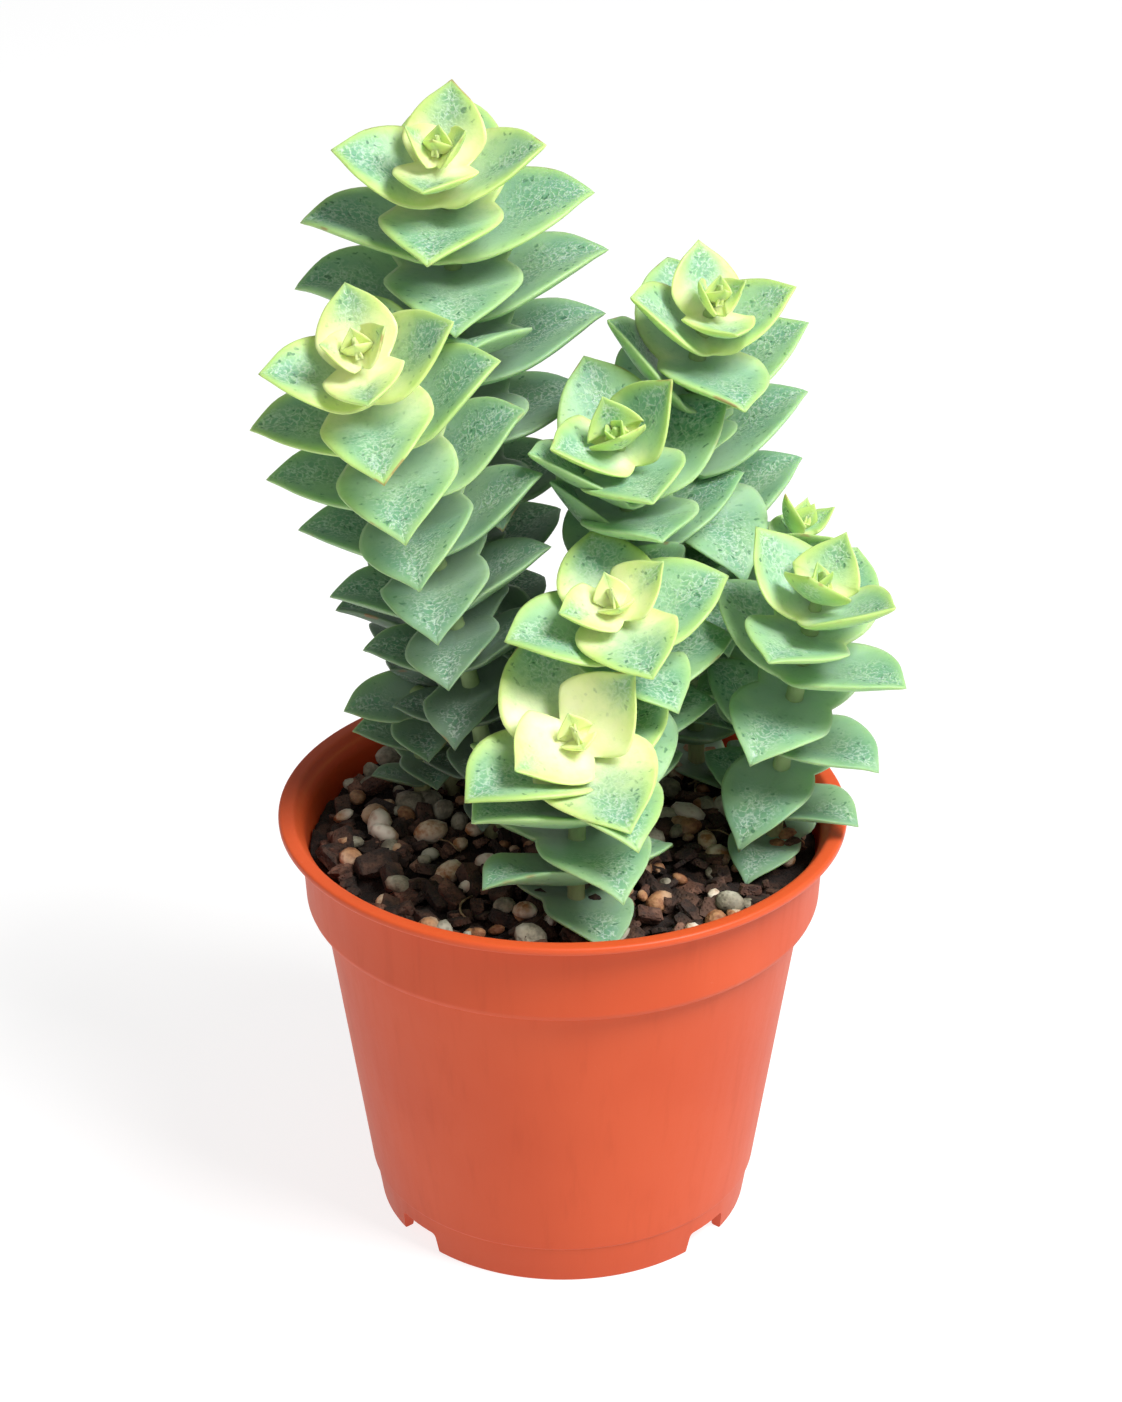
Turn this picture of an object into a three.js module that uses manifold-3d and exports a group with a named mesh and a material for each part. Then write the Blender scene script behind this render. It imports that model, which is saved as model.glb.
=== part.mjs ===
// String of buttons, Crassula perforata in its variegated form, growing in a thin plastic nursery pot.
// Millimetres, +Z up. The origin is the centre of the pot's foot, and the front of the plant faces -Y.
//
// The pot and the gritty soil are one solid each. Every leafy shoot is one solid too: a round stem
// that carries pairs of fleshy leaves, each pair joined round the stem and turned a quarter turn
// from the pair above it.

import * as THREE from 'three';
import { mergeVertices } from 'three/addons/utils/BufferGeometryUtils.js';
import Module from 'manifold-3d';

const wasm = await Module();
wasm.setup();
const { Manifold, Mesh } = wasm;

// ---------------------------------------------------------------- driving dimensions

const GAP = 0.35;                 // clearance between neighbouring pieces
const LEAF_GAP = 0.64;            // the same between the leaves of different shoots
const SHORTEST_EDGE = 0.003;      // shorter edges are closed up after a cut
const FINEST = 0.02;              // detail finer than this is left out where leaves are cut clear

const POT = {
  sides: 36,
  lipRadius: 45,                  // outermost edge of the rolled lip
  height: 70.5,
  lipInner: 42.7,
  lipUnder: 69.2,
  collarTop: 41.7,                // outer radius of the collar under the lip
  collarFoot: 40.9,
  collarFootZ: 55.6,
  bodyTop: 38.5,                  // outer radius of the tapered body under the collar
  bodyFoot: 31.6,
  stepZ: 7.0,                     // fine step round the body above the foot
  footRadius: 30.1,
  wall: 0.95,
  floorUnder: 3.9,
  floor: 5.1,
  boss: 5.5,                      // moulding boss under the middle of the floor, down to the foot
  notch: { height: 3.7, foot: 9.4, top: 8.2, azimuths: [-140, -40, 40, 140] },
  drain: { radius: 3.2, ring: 17, count: 6 },
};

const SOIL = {
  surface: 64.3,                  // mean height at the wall
  mound: 0.9,                     // extra height at the middle
  ripple: 0.45,
  edge: 40.1,
  grit: 22,                       // rounded stones
  gritRadius: [1.3, 2.9],
  bark: 14,                       // flat chips of bark
  barkLength: [3.5, 6.5],
  seed: 417,
};

const STEM = { radius: 1.5, foot: 56, soilLine: 62 };

const LEAF = {
  stations: [0.27, 0.56, 0.83],   // cross-sections between root and tip, as shares of the length
  oldStations: [0.3, 0.72],       // the same on the old pairs low on a shoot
  old: 5,                         // how many pairs down the old ones start
  width: 0.43,                    // half width as a share of the length
  widest: 0.31,                   // where a leaf is widest, from the stem
  point: 1.75,                    // how full the sides are towards the tip, 1 being straight
  drawn: 0.25,                    // how much narrower the sides are drawn in at the tip
  arch: 0.11,                     // how far a grown leaf arches up before its tip hangs, per length
  run: 0.25,                      // how much faster than its length a leaf runs out at the stem
  climb: 0.45,                    // share of a leaf's rise that it gains towards the tip
  rootReach: [0.04, 0.2],         // shortest and longest joined part at the stem, per length
  tiltedFrom: 0.35,               // where cross-sections lie square to the leaf, as a share
  blunt: 2.2,                     // how late the body thins towards the tip
  cover: { side: 2.5, body: 1.3 },   // how much more than the clearance margins and body swell
  young: { width: 0.22, cup: 0.12, upright: 16 },   // how much wider, hollower, steeper young ones are
  root: 0.78,                     // width where the pair joins, as a share of the widest
  cup: 0.24,                      // how far the margins rise, as a share of the half width
  body: [0.55, 0.085],            // thickness along the middle: fixed part, share of the length
  shortest: 4.8,
  crowded: 3,                     // pairs round the growing tip that touch each other
  clearOfSoil: 3.5,               // lowest pair above the soil
  spare: 2,                       // small extra pairs at the foot, where there is room
};

// How a shoot's pairs change on the way down. Each depth is a number of pairs below the tip.
const GROWTH = {
  size: { start: 0.55, power: 1.4 },          // leaves reach their full length after shoot.growth
  steep: { depth: 2.2, power: 1.3 },          // how long they keep the steep rise of the tip
  bud: 2.5,                                   // depth over which they keep the form of a bud
  pitch: { first: 0.22, more: 0.2, old: 0.15 },   // share of the pitch at the tip, gain, loss low down
  sideDroop: 0.2,                             // droop of the side pairs, as a share of the front ones'
};

// Each shoot follows one curve from its base in the soil to its growing tip. base: x, y in the soil.
// tip: the growing point. lean: horizontal run of the tip for each unit of rise. heading: direction of
// the side pairs, drift: extra turn from pair to pair, skew: how far front pairs are off square.
// leaf: full leaf length, growth: pairs it takes to get there, taper: loss towards the base.
// pitch: distance between pairs, rise: a leaf's angle to the stem's cross-section at the tip, and low
// down for the side pairs and the front pairs. sideFirst: the topmost pair points sideways instead of
// front and back. bud: length of the youngest leaves. droop: how far the lowest ones hang. cut: the
// growing tip is gone, and this much bare stem stands above the top pair.
const SHOOTS = {
  shoot_front_low: {
    base: [2, -25], tip: [2.1, -25.3, 95.2], lean: [-0.05, -1.15], heading: 40.9, drift: -0.3,
    skew: -17.5, leaf: 24.1, growth: 1.63, taper: 0.22, pitch: 5.28, rise: [41.6, 5, -7.7], pairs: 8,
    sideFirst: false, bud: 5.6, colour: 0xb9d66e,
  },
  shoot_centre_low: {
    base: [4.6, -9.4], tip: [7.8, -14.3, 111.7], lean: [-0.16, -0.55], heading: 28.7, drift: -1.9,
    skew: -11.6, leaf: 23.2, growth: 2.17, taper: 0.29, pitch: 5.14, rise: [32.9, 16.2, -0.7], pairs: 9,
    sideFirst: false, bud: 5.6, droop: 8, colour: 0xa9cc72,
  },
  shoot_front_left: {
    base: [-11.2, 0.6], tip: [-29.2, -17.3, 153.3], lean: [-0.2, -0.74], heading: 13.2, drift: -1.1,
    skew: -0.4, leaf: 24.6, growth: 3.12, taper: 0.45, pitch: 5.87, rise: [55.1, 21.1, 9.1], pairs: 16,
    sideFirst: false, droop: 18, colour: 0x9cc27e,
  },
  shoot_back_left: {
    base: [-18, 14.9], tip: [-18.1, 7.2, 175.2], lean: [-0.12, -0.61], heading: -14, drift: 3.3,
    skew: -2.4, leaf: 27.4, growth: 3.33, taper: 0.28, pitch: 5.87, rise: [62.9, 16.6, 13.6], pairs: 19,
    sideFirst: false, droop: 14, colour: 0x93bf80,
  },
  shoot_middle: {
    base: [9, 3.5], tip: [8.3, 0.9, 132.4], lean: [-0.24, -0.86], heading: 31.8, drift: -0.8,
    skew: -11.5, leaf: 24.7, growth: 2.69, taper: 0.22, pitch: 5.68, rise: [77.9, 20, 17], pairs: 10,
    sideFirst: true, colour: 0x8fbd7c,
  },
  shoot_right: {
    base: [33.3, -3.2], tip: [38.5, -11.2, 112.9], lean: [0.15, -0.21], heading: -40.4, drift: 0.3,
    skew: 13.5, leaf: 21.3, growth: 1.93, taper: 0.12, pitch: 7.3, rise: [55.9, 19.2, 18.8], pairs: 8,
    sideFirst: true, droop: 48, colour: 0x95c07a,
  },
  shoot_back_right: {
    base: [22, 20.3], tip: [23, 13.1, 149.9], lean: [0.29, -0.57], heading: 11.2, drift: 1.2,
    skew: 2, leaf: 26.2, growth: 3.49, taper: 0.3, pitch: 6.42, rise: [62.4, 27.5, 14.1], pairs: 16,
    sideFirst: false, droop: 16, colour: 0x8dbb7e,
  },
  shoot_back_low: {
    base: [31, 11], tip: [37, 12, 113], lean: [0.4, 0.2], heading: 20, drift: 2,
    skew: 0, leaf: 15, growth: 2, taper: 0.15, pitch: 6, rise: [60, 16, 16], pairs: 9,
    sideFirst: false, droop: 25, colour: 0xa5c792,
  },
  shoot_left_low: {
    base: [-22.8, 11], tip: [-22.9, 6, 87.4], lean: [-0.15, -0.55], heading: 4, drift: 3,
    skew: 0, leaf: 12.5, growth: 1, taper: 0.3, pitch: 4.4, rise: [12, 12, 2], pairs: 5,
    sideFirst: true, cut: 2.2, colour: 0x6f8f6c,
  },
};

const COLOUR = { pot: 0xd2603c, soil: 0x5a4536 };

// ---------------------------------------------------------------- helpers

const radians = THREE.MathUtils.degToRad;

/** Seeded draws between two numbers, the same on every run. */
function seededDraws(seed) {
  let state = seed >>> 0;
  return (low, high) => {
    state = (state * 1664525 + 1013904223) >>> 0;
    return low + (high - low) * (state / 4294967296);
  };
}

/** Turns a closed geometry into a solid: shared corners merged, empty triangles dropped. */
function solid(geometry) {
  const bare = geometry.clone();
  bare.deleteAttribute('normal');
  bare.deleteAttribute('uv');
  const merged = mergeVertices(bare, 1e-4);
  const index = Array.from(merged.index.array);
  const triangles = [];
  for (let i = 0; i < index.length; i += 3) {
    const [a, b, c] = index.slice(i, i + 3);
    if (a !== b && b !== c && c !== a) {
      triangles.push(a, b, c);
    }
  }
  return outward(merged.attributes.position, triangles);
}

/** Makes the solid with its faces pointing out, whichever way the triangles were wound. */
function outward(position, triangles) {
  const p = new THREE.Vector3();
  const q = new THREE.Vector3();
  const r = new THREE.Vector3();
  let volume = 0;
  for (let i = 0; i < triangles.length; i += 3) {
    p.fromBufferAttribute(position, triangles[i]);
    q.fromBufferAttribute(position, triangles[i + 1]);
    r.fromBufferAttribute(position, triangles[i + 2]);
    volume += p.dot(q.cross(r));
  }
  if (volume < 0) {
    triangles.reverse();
  }
  return new Manifold(new Mesh({
    numProp: 3,
    vertProperties: Float32Array.from(position.array),
    triVerts: Uint32Array.from(triangles),
  }));
}

/** The largest body of a solid: loose scraps are dropped and sealed hollows are filled. */
function largestBody(manifold) {
  const bodies = manifold.decompose();
  const body = bodies.reduce((best, other) => (other.volume() > best.volume() ? other : best));
  return body;
}

/** A cut solid's triangles with its shortest edges closed up and folded slivers dropped. */
function tidied(manifold) {
  const { vertProperties, triVerts } = manifold.getMesh();
  const corners = [];
  for (let i = 0; i < vertProperties.length; i += 3) {
    corners.push(new THREE.Vector3().fromArray(vertProperties, i));
  }
  const joined = corners.map((_, i) => i);
  const root = (i) => (joined[i] === i ? i : root(joined[i]));
  const faces = [];
  for (let i = 0; i < triVerts.length; i += 3) {
    faces.push(Array.from(triVerts.slice(i, i + 3)));
  }
  for (const face of faces) {
    face.forEach((corner, i) => {
      const next = face[(i + 1) % 3];
      if (corners[corner].distanceTo(corners[next]) < SHORTEST_EDGE) {
        joined[Math.max(root(corner), root(next))] = Math.min(root(corner), root(next));
      }
    });
  }
  const kept = new Map();
  for (const face of faces) {
    const [a, b, c] = face.map(root);
    if (a !== b && b !== c && c !== a) {
      const key = [a, b, c].sort((p, q) => p - q).join();
      if (!kept.delete(key)) {
        kept.set(key, [a, b, c]);
      }
    }
  }
  const triangles = [...kept.values()].flat();
  return { corners: vertProperties, triangles };
}

/** Wraps a finished solid as a named mesh with its material. */
function meshOf(name, manifold, colour, roughness) {
  const { corners, triangles } = tidied(manifold);
  const geometry = new THREE.BufferGeometry();
  geometry.setAttribute('position', new THREE.BufferAttribute(corners, 3));
  geometry.setIndex(triangles);
  geometry.computeVertexNormals();
  const material = new THREE.MeshStandardMaterial({ color: colour, roughness, metalness: 0 });
  const mesh = new THREE.Mesh(geometry, material);
  mesh.name = name;
  return mesh;
}

/** A turned solid from [radius, height] points that start and end on the axis. */
function turned(profile, sides) {
  const points = profile.map(([radius, height]) => new THREE.Vector2(radius, height));
  return new THREE.LatheGeometry(points, sides).rotateX(Math.PI / 2);
}

/** An upright cylinder between two heights. */
function post(radius, bottom, top, sides, x = 0, y = 0) {
  return new THREE.CylinderGeometry(radius, radius, top - bottom, sides)
    .rotateX(Math.PI / 2)
    .translate(x, y, (bottom + top) / 2);
}

// ---------------------------------------------------------------- pot

/** Radius of the pot's inner wall at a height inside it. */
const POT_INNER = {
  floor: POT.footRadius - 0.4,
  bodyTop: POT.bodyTop - POT.wall,
  collarFoot: POT.collarFoot - POT.wall,
  collarTop: POT.collarTop - POT.wall,
};

function buildPot() {
  const profile = [
    [0, 0],
    [POT.boss, 0],
    [POT.boss + 0.6, POT.floorUnder],
    [POT.footRadius - 1.9, POT.floorUnder],
    [POT.footRadius - 1.6, 0],
    [POT.footRadius, 0],
    [POT.bodyFoot - 0.35, POT.stepZ - 0.2],
    [POT.bodyFoot, POT.stepZ + 0.2],
    [POT.bodyTop, POT.collarFootZ - 0.3],
    [POT.collarFoot - 0.5, POT.collarFootZ - 0.2],
    [POT.collarFoot, POT.collarFootZ + 0.4],
    [POT.collarTop, POT.lipUnder],
    [POT.lipRadius - 0.5, POT.lipUnder],
    [POT.lipRadius, POT.lipUnder + 0.5],
    [POT.lipRadius - 0.1, POT.height - 0.3],
    [POT.lipRadius - 0.5, POT.height],
    [POT.lipInner + 0.4, POT.height],
    [POT.lipInner, POT.height - 0.35],
    [POT_INNER.collarTop + 0.3, POT.lipUnder - 0.5],
    [POT_INNER.collarTop, POT.lipUnder - 2],
    [POT_INNER.collarFoot, POT.collarFootZ + 0.7],
    [POT_INNER.bodyTop, POT.collarFootZ - 0.6],
    [POT_INNER.floor, POT.floor],
    [0, POT.floor],
  ];
  let pot = solid(turned(profile, POT.sides));

  const { notch, drain } = POT;
  const outline = new THREE.Shape([
    new THREE.Vector2(-notch.foot / 2, -2),
    new THREE.Vector2(notch.foot / 2, -2),
    new THREE.Vector2(notch.top / 2, notch.height),
    new THREE.Vector2(-notch.top / 2, notch.height),
  ]);
  for (const azimuth of notch.azimuths) {
    const cutter = new THREE.ExtrudeGeometry(outline, { depth: 10, bevelEnabled: false })
      .rotateX(Math.PI / 2)
      .translate(0, POT.footRadius + 5, 0)
      .rotateZ(radians(azimuth - 90));
    pot = pot.subtract(solid(cutter));
  }
  for (let i = 0; i < drain.count; i += 1) {
    const angle = (i / drain.count) * 2 * Math.PI;
    const x = drain.ring * Math.cos(angle);
    const y = drain.ring * Math.sin(angle);
    pot = pot.subtract(solid(post(drain.radius, 2, 8, 14, x, y)));
  }
  return pot;
}

// ---------------------------------------------------------------- soil

/** Height of the soil's surface, mounded at the middle and uneven all over. */
function soilHeight(x, y) {
  const out = Math.hypot(x, y) / SOIL.edge;
  const waves = Math.sin(x * 0.61 + 1.3) * Math.cos(y * 0.53 - 0.4) + 0.6 * Math.sin((x - y) * 0.97);
  return SOIL.surface + SOIL.mound * (1 - out * out) + SOIL.ripple * waves;
}

function buildSoil() {
  const profile = [
    [0, POT.floor + GAP],
    [POT_INNER.floor - GAP, POT.floor + GAP],
    [POT_INNER.bodyTop - GAP, POT.collarFootZ - 0.3],
    [POT_INNER.collarFoot - GAP, POT.collarFootZ + 1.0],
    [SOIL.edge, SOIL.surface - 0.6],
  ];
  const rings = 4;
  for (let i = 1; i <= rings; i += 1) {
    profile.push([SOIL.edge * (1 - i / rings), SOIL.surface]);
  }
  const bed = turned(profile, 24);
  const position = bed.attributes.position;
  for (let i = 0; i < position.count; i += 1) {
    const x = position.getX(i);
    const y = position.getY(i);
    if (position.getZ(i) > SOIL.surface - 0.1) {
      position.setZ(i, soilHeight(x, y));
    }
  }

  const draw = seededDraws(SOIL.seed);
  const scatter = (geometry, reach, lift) => {
    const out = reach * Math.sqrt(draw(0, 1));
    const angle = draw(0, 2 * Math.PI);
    const x = out * Math.cos(angle);
    const y = out * Math.sin(angle);
    return geometry.rotateZ(draw(0, 2 * Math.PI)).translate(x, y, soilHeight(x, y) + lift);
  };
  const pieces = [solid(bed)];
  for (let i = 0; i < SOIL.grit; i += 1) {
    const radius = draw(...SOIL.gritRadius);
    const stone = new THREE.IcosahedronGeometry(radius, 0)
      .scale(1, draw(0.7, 0.95), draw(0.55, 0.75))
      .rotateX(draw(-0.4, 0.4));
    pieces.push(solid(scatter(stone, SOIL.edge - 3.4, radius * 0.15)));
  }
  for (let i = 0; i < SOIL.bark; i += 1) {
    const length = draw(...SOIL.barkLength);
    const chip = new THREE.BoxGeometry(length, length * draw(0.4, 0.7), 1.5)
      .rotateX(draw(-0.4, 0.4))
      .rotateY(draw(-0.4, 0.4));
    pieces.push(solid(scatter(chip, SOIL.edge - 4.2, 0.35)));
  }
  let soil = Manifold.union(pieces);
  for (const { base: [x, y] } of Object.values(SHOOTS)) {
    const hole = post(STEM.radius + GAP, STEM.foot - GAP, SOIL.surface + 8, 10, x, y);
    soil = soil.subtract(solid(hole));
  }
  return largestBody(soil);
}

// ---------------------------------------------------------------- shoots

/** The curve of a shoot from the soil line to the growing tip. */
function shootCurve({ base: [x, y], tip, lean }) {
  const start = new THREE.Vector3(x, y, STEM.soilLine);
  const end = new THREE.Vector3(...tip);
  const arm = 0.33 * start.distanceTo(end);
  const heading = new THREE.Vector3(lean[0], lean[1], 1).normalize();
  return new THREE.CubicBezierCurve3(
    start,
    start.clone().add(new THREE.Vector3(0, 0, arm)),
    end.clone().addScaledVector(heading, -arm),
    end,
  );
}

/** A frame on the shoot's curve: z along the stem, x turned about it. */
function frameOn(curve, at, turn) {
  const centre = curve.getPointAt(at);
  const axis = curve.getTangentAt(at);
  const across = new THREE.Vector3(1, 0, 0).addScaledVector(axis, -axis.x).normalize();
  return new THREE.Matrix4()
    .makeBasis(across, new THREE.Vector3().crossVectors(axis, across), axis)
    .multiply(new THREE.Matrix4().makeRotationZ(turn))
    .setPosition(centre);
}

/** Where each pair of a shoot sits, how it is turned, and its leaf length and rise, top pair first. */
function pairPlaces(shoot) {
  const curve = shootCurve(shoot);
  const total = curve.getLength();
  const places = [];
  const growing = shoot.cut === undefined;
  let down = growing ? 0 : shoot.cut;
  for (let i = 0; i < shoot.pairs + LEAF.spare; i += 1) {
    const at = 1 - down / total;
    if (curve.getPointAt(Math.max(0, at)).z < SOIL.surface + LEAF.clearOfSoil) {
      break;
    }
    const frontPair = (i % 2 === 0) !== shoot.sideFirst;
    const turn = radians(shoot.heading + shoot.drift * i + (frontPair ? 90 + shoot.skew : 0));
    const { size, steep, pitch, sideDroop } = GROWTH;
    const grown = growing ? 1 - Math.exp(-(((i + size.start) / shoot.growth) ** size.power)) : 1;
    const old = Math.min(1, i / (shoot.pairs - 1)) ** 2;
    const left = 1 - shoot.taper * (i / (shoot.pairs - 1)) ** 2;
    const young = Math.exp(-((i / steep.depth) ** steep.power));
    const bud = growing ? Math.exp(-((i / GROWTH.bud) ** 2)) : 0;
    const hang = (shoot.droop ?? 0) * (frontPair ? 1 : sideDroop) * old;
    const settled = (frontPair ? shoot.rise[2] : shoot.rise[1]) - hang;
    const upright = growing ? LEAF.young.upright * Math.exp(-i * i) : 0;
    places.push({
      at,
      turn,
      frame: frameOn(curve, at, turn),
      length: Math.max(shoot.bud ?? LEAF.shortest, shoot.leaf * grown * left),
      rise: radians(settled + (shoot.rise[0] - settled) * young + upright),
      width: LEAF.width * (1 + LEAF.young.width * bud),
      cup: LEAF.cup + LEAF.young.cup * bud,
      arch: LEAF.arch * (1 - bud),
      stations: i < LEAF.old ? LEAF.stations : LEAF.oldStations,
    });
    const crowd = growing ? Math.min(1, pitch.first + pitch.more * i) : 1;
    down += shoot.pitch * crowd * (1 - pitch.old * old);
  }
  return places;
}

/** Half width of a leaf at a share of its length, as a share of its widest. */
function leafOutline(share) {
  if (share < LEAF.widest) {
    return 1 - (1 - LEAF.root) * (1 - share / LEAF.widest) ** 2;
  }
  const out = (share - LEAF.widest) / (1 - LEAF.widest);
  return (1 - out ** LEAF.point) * (1 - LEAF.drawn * THREE.MathUtils.smoothstep(out, 0.6, 1));
}

/** Shell of one or more leaf pairs on their piece of stem, gathered corner by corner. */
class Shell {
  constructor() {
    this.corners = [];
    this.triangles = [];
  }

  /** Adds corners given in a frame and returns their numbers. */
  add(frame, points) {
    return points.map(([x, y, z]) => {
      const corner = new THREE.Vector3(x, y, z).applyMatrix4(frame);
      return this.corners.push(corner) - 1;
    });
  }

  /** Joins two rings of corners with a band of faces, the near ring first. */
  band(near, far) {
    near.forEach((corner, i) => {
      const next = (i + 1) % near.length;
      this.triangles.push(corner, near[next], far[i], near[next], far[next], far[i]);
    });
  }

  /** Closes a ring of corners with a fan of faces to one more corner. */
  fan(ring, apex) {
    ring.forEach((corner, i) => {
      this.triangles.push(corner, ring[(i + 1) % ring.length], apex);
    });
  }

  toSolid() {
    const geometry = new THREE.BufferGeometry().setFromPoints(this.corners);
    return outward(geometry.attributes.position, this.triangles);
  }
}

/**
 * One pair of leaves, joined round the stem. A leaf's cross-sections have four corners: two margins,
 * a shallow trough between them above and a keel below. Returns the square of corners that the stem
 * meets above the pair and the one below it.
 */
function addPair(shell, place, swell) {
  const { frame, length, rise, stations, cup, arch } = place;
  const reach = length + swell;
  const { run, climb, cover } = LEAF;
  const half = place.width * length + cover.side * swell;
  const body = (LEAF.body[0] + LEAF.body[1] * length) / 2 + swell;
  const outAt = (share) => reach * Math.cos(rise) * ((1 + run) * share - run * share * share);
  const upAt = (share) => reach * Math.sin(rise) * ((1 - climb) * share + climb * share * share)
    + 4 * arch * reach * share * share * (1 - share);
  const root = THREE.MathUtils.clamp(
    (STEM.radius + swell) / (1.22 * reach * Math.cos(rise)), ...LEAF.rootReach,
  );

  const section = (side, share) => {
    const width = half * leafOutline(share);
    const settled = THREE.MathUtils.clamp((share - root) / (LEAF.tiltedFrom - root), 0, 1);
    const slope = Math.atan2(
      Math.sin(rise) * (1 - climb + 2 * climb * share) + 4 * arch * share * (2 - 3 * share),
      Math.cos(rise) * (1 + run - 2 * run * share),
    );
    const tilt = slope * settled;
    const thick = (body - swell) * Math.sqrt(Math.min(1, (1 - share) * LEAF.blunt))
      + cover.body * swell;
    return [[width, cup * width], [0, thick], [-width, cup * width], [0, -thick]]
      .map(([across, lift]) => [
        side * (outAt(share) - lift * Math.sin(tilt)),
        side * across,
        upAt(share) + lift * Math.cos(tilt),
      ]);
  };

  const roots = [1, -1].map((side) => {
    const rings = [root, ...stations].map((share) => shell.add(frame, section(side, share)));
    const [tip] = shell.add(frame, [[side * outAt(1), 0, upAt(1)]]);
    for (let i = 1; i < rings.length; i += 1) {
      shell.band(rings[i - 1], rings[i]);
    }
    shell.fan(rings.at(-1), tip);
    return rings[0];
  });

  const [a, b] = roots;
  const beside = outAt(root);
  const [leftTop, rightTop, leftUnder, rightUnder] = shell.add(frame, [
    [0, beside, upAt(root) + body],
    [0, -beside, upAt(root) + body],
    [0, beside, upAt(root) - body],
    [0, -beside, upAt(root) - body],
  ]);
  for (const [first, second, top, under] of [[a, b, leftTop, leftUnder], [b, a, rightTop, rightUnder]]) {
    shell.triangles.push(top, first[1], first[0], top, first[0], second[2], top, second[2], second[1]);
    shell.triangles.push(under, first[0], first[3], under, second[2], first[0]);
    shell.triangles.push(under, second[3], second[2]);
  }
  return {
    above: [a[1], leftTop, b[1], rightTop],
    below: [a[3], leftUnder, b[3], rightUnder],
  };
}

/** Turns a square of stem corners so that it starts nearest the other one's first corner. */
function matched(square, turn, otherTurn) {
  const quarters = Math.round((otherTurn - turn) / (Math.PI / 2));
  return square.map((_, i) => square[(((i + quarters) % 4) + 4) % 4]);
}

/** A square of stem corners of a given radius. */
function stemSquare(radius) {
  return [[radius, 0, 0], [0, radius, 0], [-radius, 0, 0], [0, -radius, 0]];
}

/** A run of pairs on one piece of stem that ends in the given frames, as thick as given. */
function runSolid(places, ends, thickness, swell, stub) {
  const shell = new Shell();
  let under = null;
  let { turn } = places[0];
  if (stub) {
    under = shell.add(stub, stemSquare(thickness + swell));
    shell.triangles.push(under[0], under[1], under[2], under[0], under[2], under[3]);
  }
  for (const place of places) {
    const { above, below } = addPair(shell, place, swell);
    if (under) {
      shell.band(matched(above, place.turn, turn), under);
    } else {
      const [p, q, r, s] = above;
      shell.triangles.push(p, q, r, p, r, s);
    }
    under = below;
    turn = place.turn;
  }
  for (const frame of ends) {
    const ring = shell.add(frame, stemSquare(thickness + swell));
    shell.band(ring, under);
    under = ring;
  }
  const [p, q, r, s] = under;
  shell.triangles.push(p, r, q, p, s, r);
  return shell.toSolid();
}

/** Frames down the bare foot of the stem, below the lowest pair and into the soil. */
function footFrames(shoot, lowest, swell) {
  const curve = shootCurve(shoot);
  const frames = [];
  const room = 3 / curve.getLength();
  for (let at = lowest.at - 2 * room; at > room; at -= 2.5 * room) {
    frames.push(frameOn(curve, at, lowest.turn));
  }
  frames.push(frameOn(curve, 0, lowest.turn));
  const foot = frameOn(curve, 0, lowest.turn);
  foot.setPosition(shoot.base[0], shoot.base[1], STEM.foot - swell);
  frames.push(foot);
  return frames;
}

/** The bare stem alone, from its foot to the growing tip, swollen as clearance for other shoots. */
function stemSolid(shoot, swell) {
  const places = pairPlaces(shoot);
  const curve = shootCurve(shoot);
  const shell = new Shell();
  const square = stemSquare(STEM.radius + swell);
  const turn = places[0].turn;
  let under = shell.add(frameOn(curve, 1, turn), square);
  shell.triangles.push(under[0], under[1], under[2], under[0], under[2], under[3]);
  const frames = footFrames(shoot, { at: 1, turn }, swell);
  for (const frame of frames) {
    const ring = shell.add(frame, square);
    shell.band(ring, under);
    under = ring;
  }
  const [p, q, r, s] = under;
  shell.triangles.push(p, r, q, p, s, r);
  return shell.toSolid();
}

/** A whole shoot. The crowded pairs round the growing tip are joined one by one to the run below. */
function shootSolid(shoot, swell) {
  const places = pairPlaces(shoot);
  const lowest = places.at(-1);
  const crowded = shoot.cut === undefined ? LEAF.crowded : 0;
  const stub = crowded ? null : frameOn(shootCurve(shoot), 1, places[0].turn);
  const feet = footFrames(shoot, lowest, swell);
  const pieces = [runSolid(places.slice(crowded), feet, STEM.radius, swell, stub)];
  for (let i = 0; i < crowded; i += 1) {
    const below = places[i + 1];
    const core = Math.min(0.7 * STEM.radius, 0.13 * below.length * Math.cos(below.rise));
    pieces.push(runSolid([places[i]], [below.frame], core, swell));
  }
  return Manifold.union(pieces);
}

/** The room the pot's rim and the rough soil take up, with clearance. */
function keepOut() {
  return solid(turned([
    [0, SOIL.surface - 4],
    [POT.lipRadius + 4, SOIL.surface - 4],
    [POT.lipRadius + GAP, POT.lipUnder - GAP],
    [POT.lipRadius + GAP, POT.height + GAP],
    [POT_INNER.collarTop - GAP, POT.height + GAP],
    [POT_INNER.collarTop - GAP, SOIL.surface + 2.6],
    [0, SOIL.surface + 2.8],
  ], POT.sides));
}

// ---------------------------------------------------------------- assembly

const plant = new THREE.Group();
plant.add(meshOf('pot', buildPot(), COLOUR.pot, 0.45));
plant.add(meshOf('soil', buildSoil(), COLOUR.soil, 0.95));

// A shoot gives way to the rim, the soil, every other shoot's stem and the shoots built before it.
let taken = keepOut();
for (const [name, shoot] of Object.entries(SHOOTS)) {
  const others = Object.values(SHOOTS).filter((other) => other !== shoot);
  const stems = Manifold.union(others.map((other) => stemSolid(other, GAP)));
  const room = taken.subtract(stemSolid(shoot, 0.05)).add(stems);
  const body = largestBody(shootSolid(shoot, 0).subtract(room).simplify(FINEST));
  plant.add(meshOf(name, body, shoot.colour, 0.5));
  taken = taken.add(shootSolid(shoot, LEAF_GAP));
}

export default plant;
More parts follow.
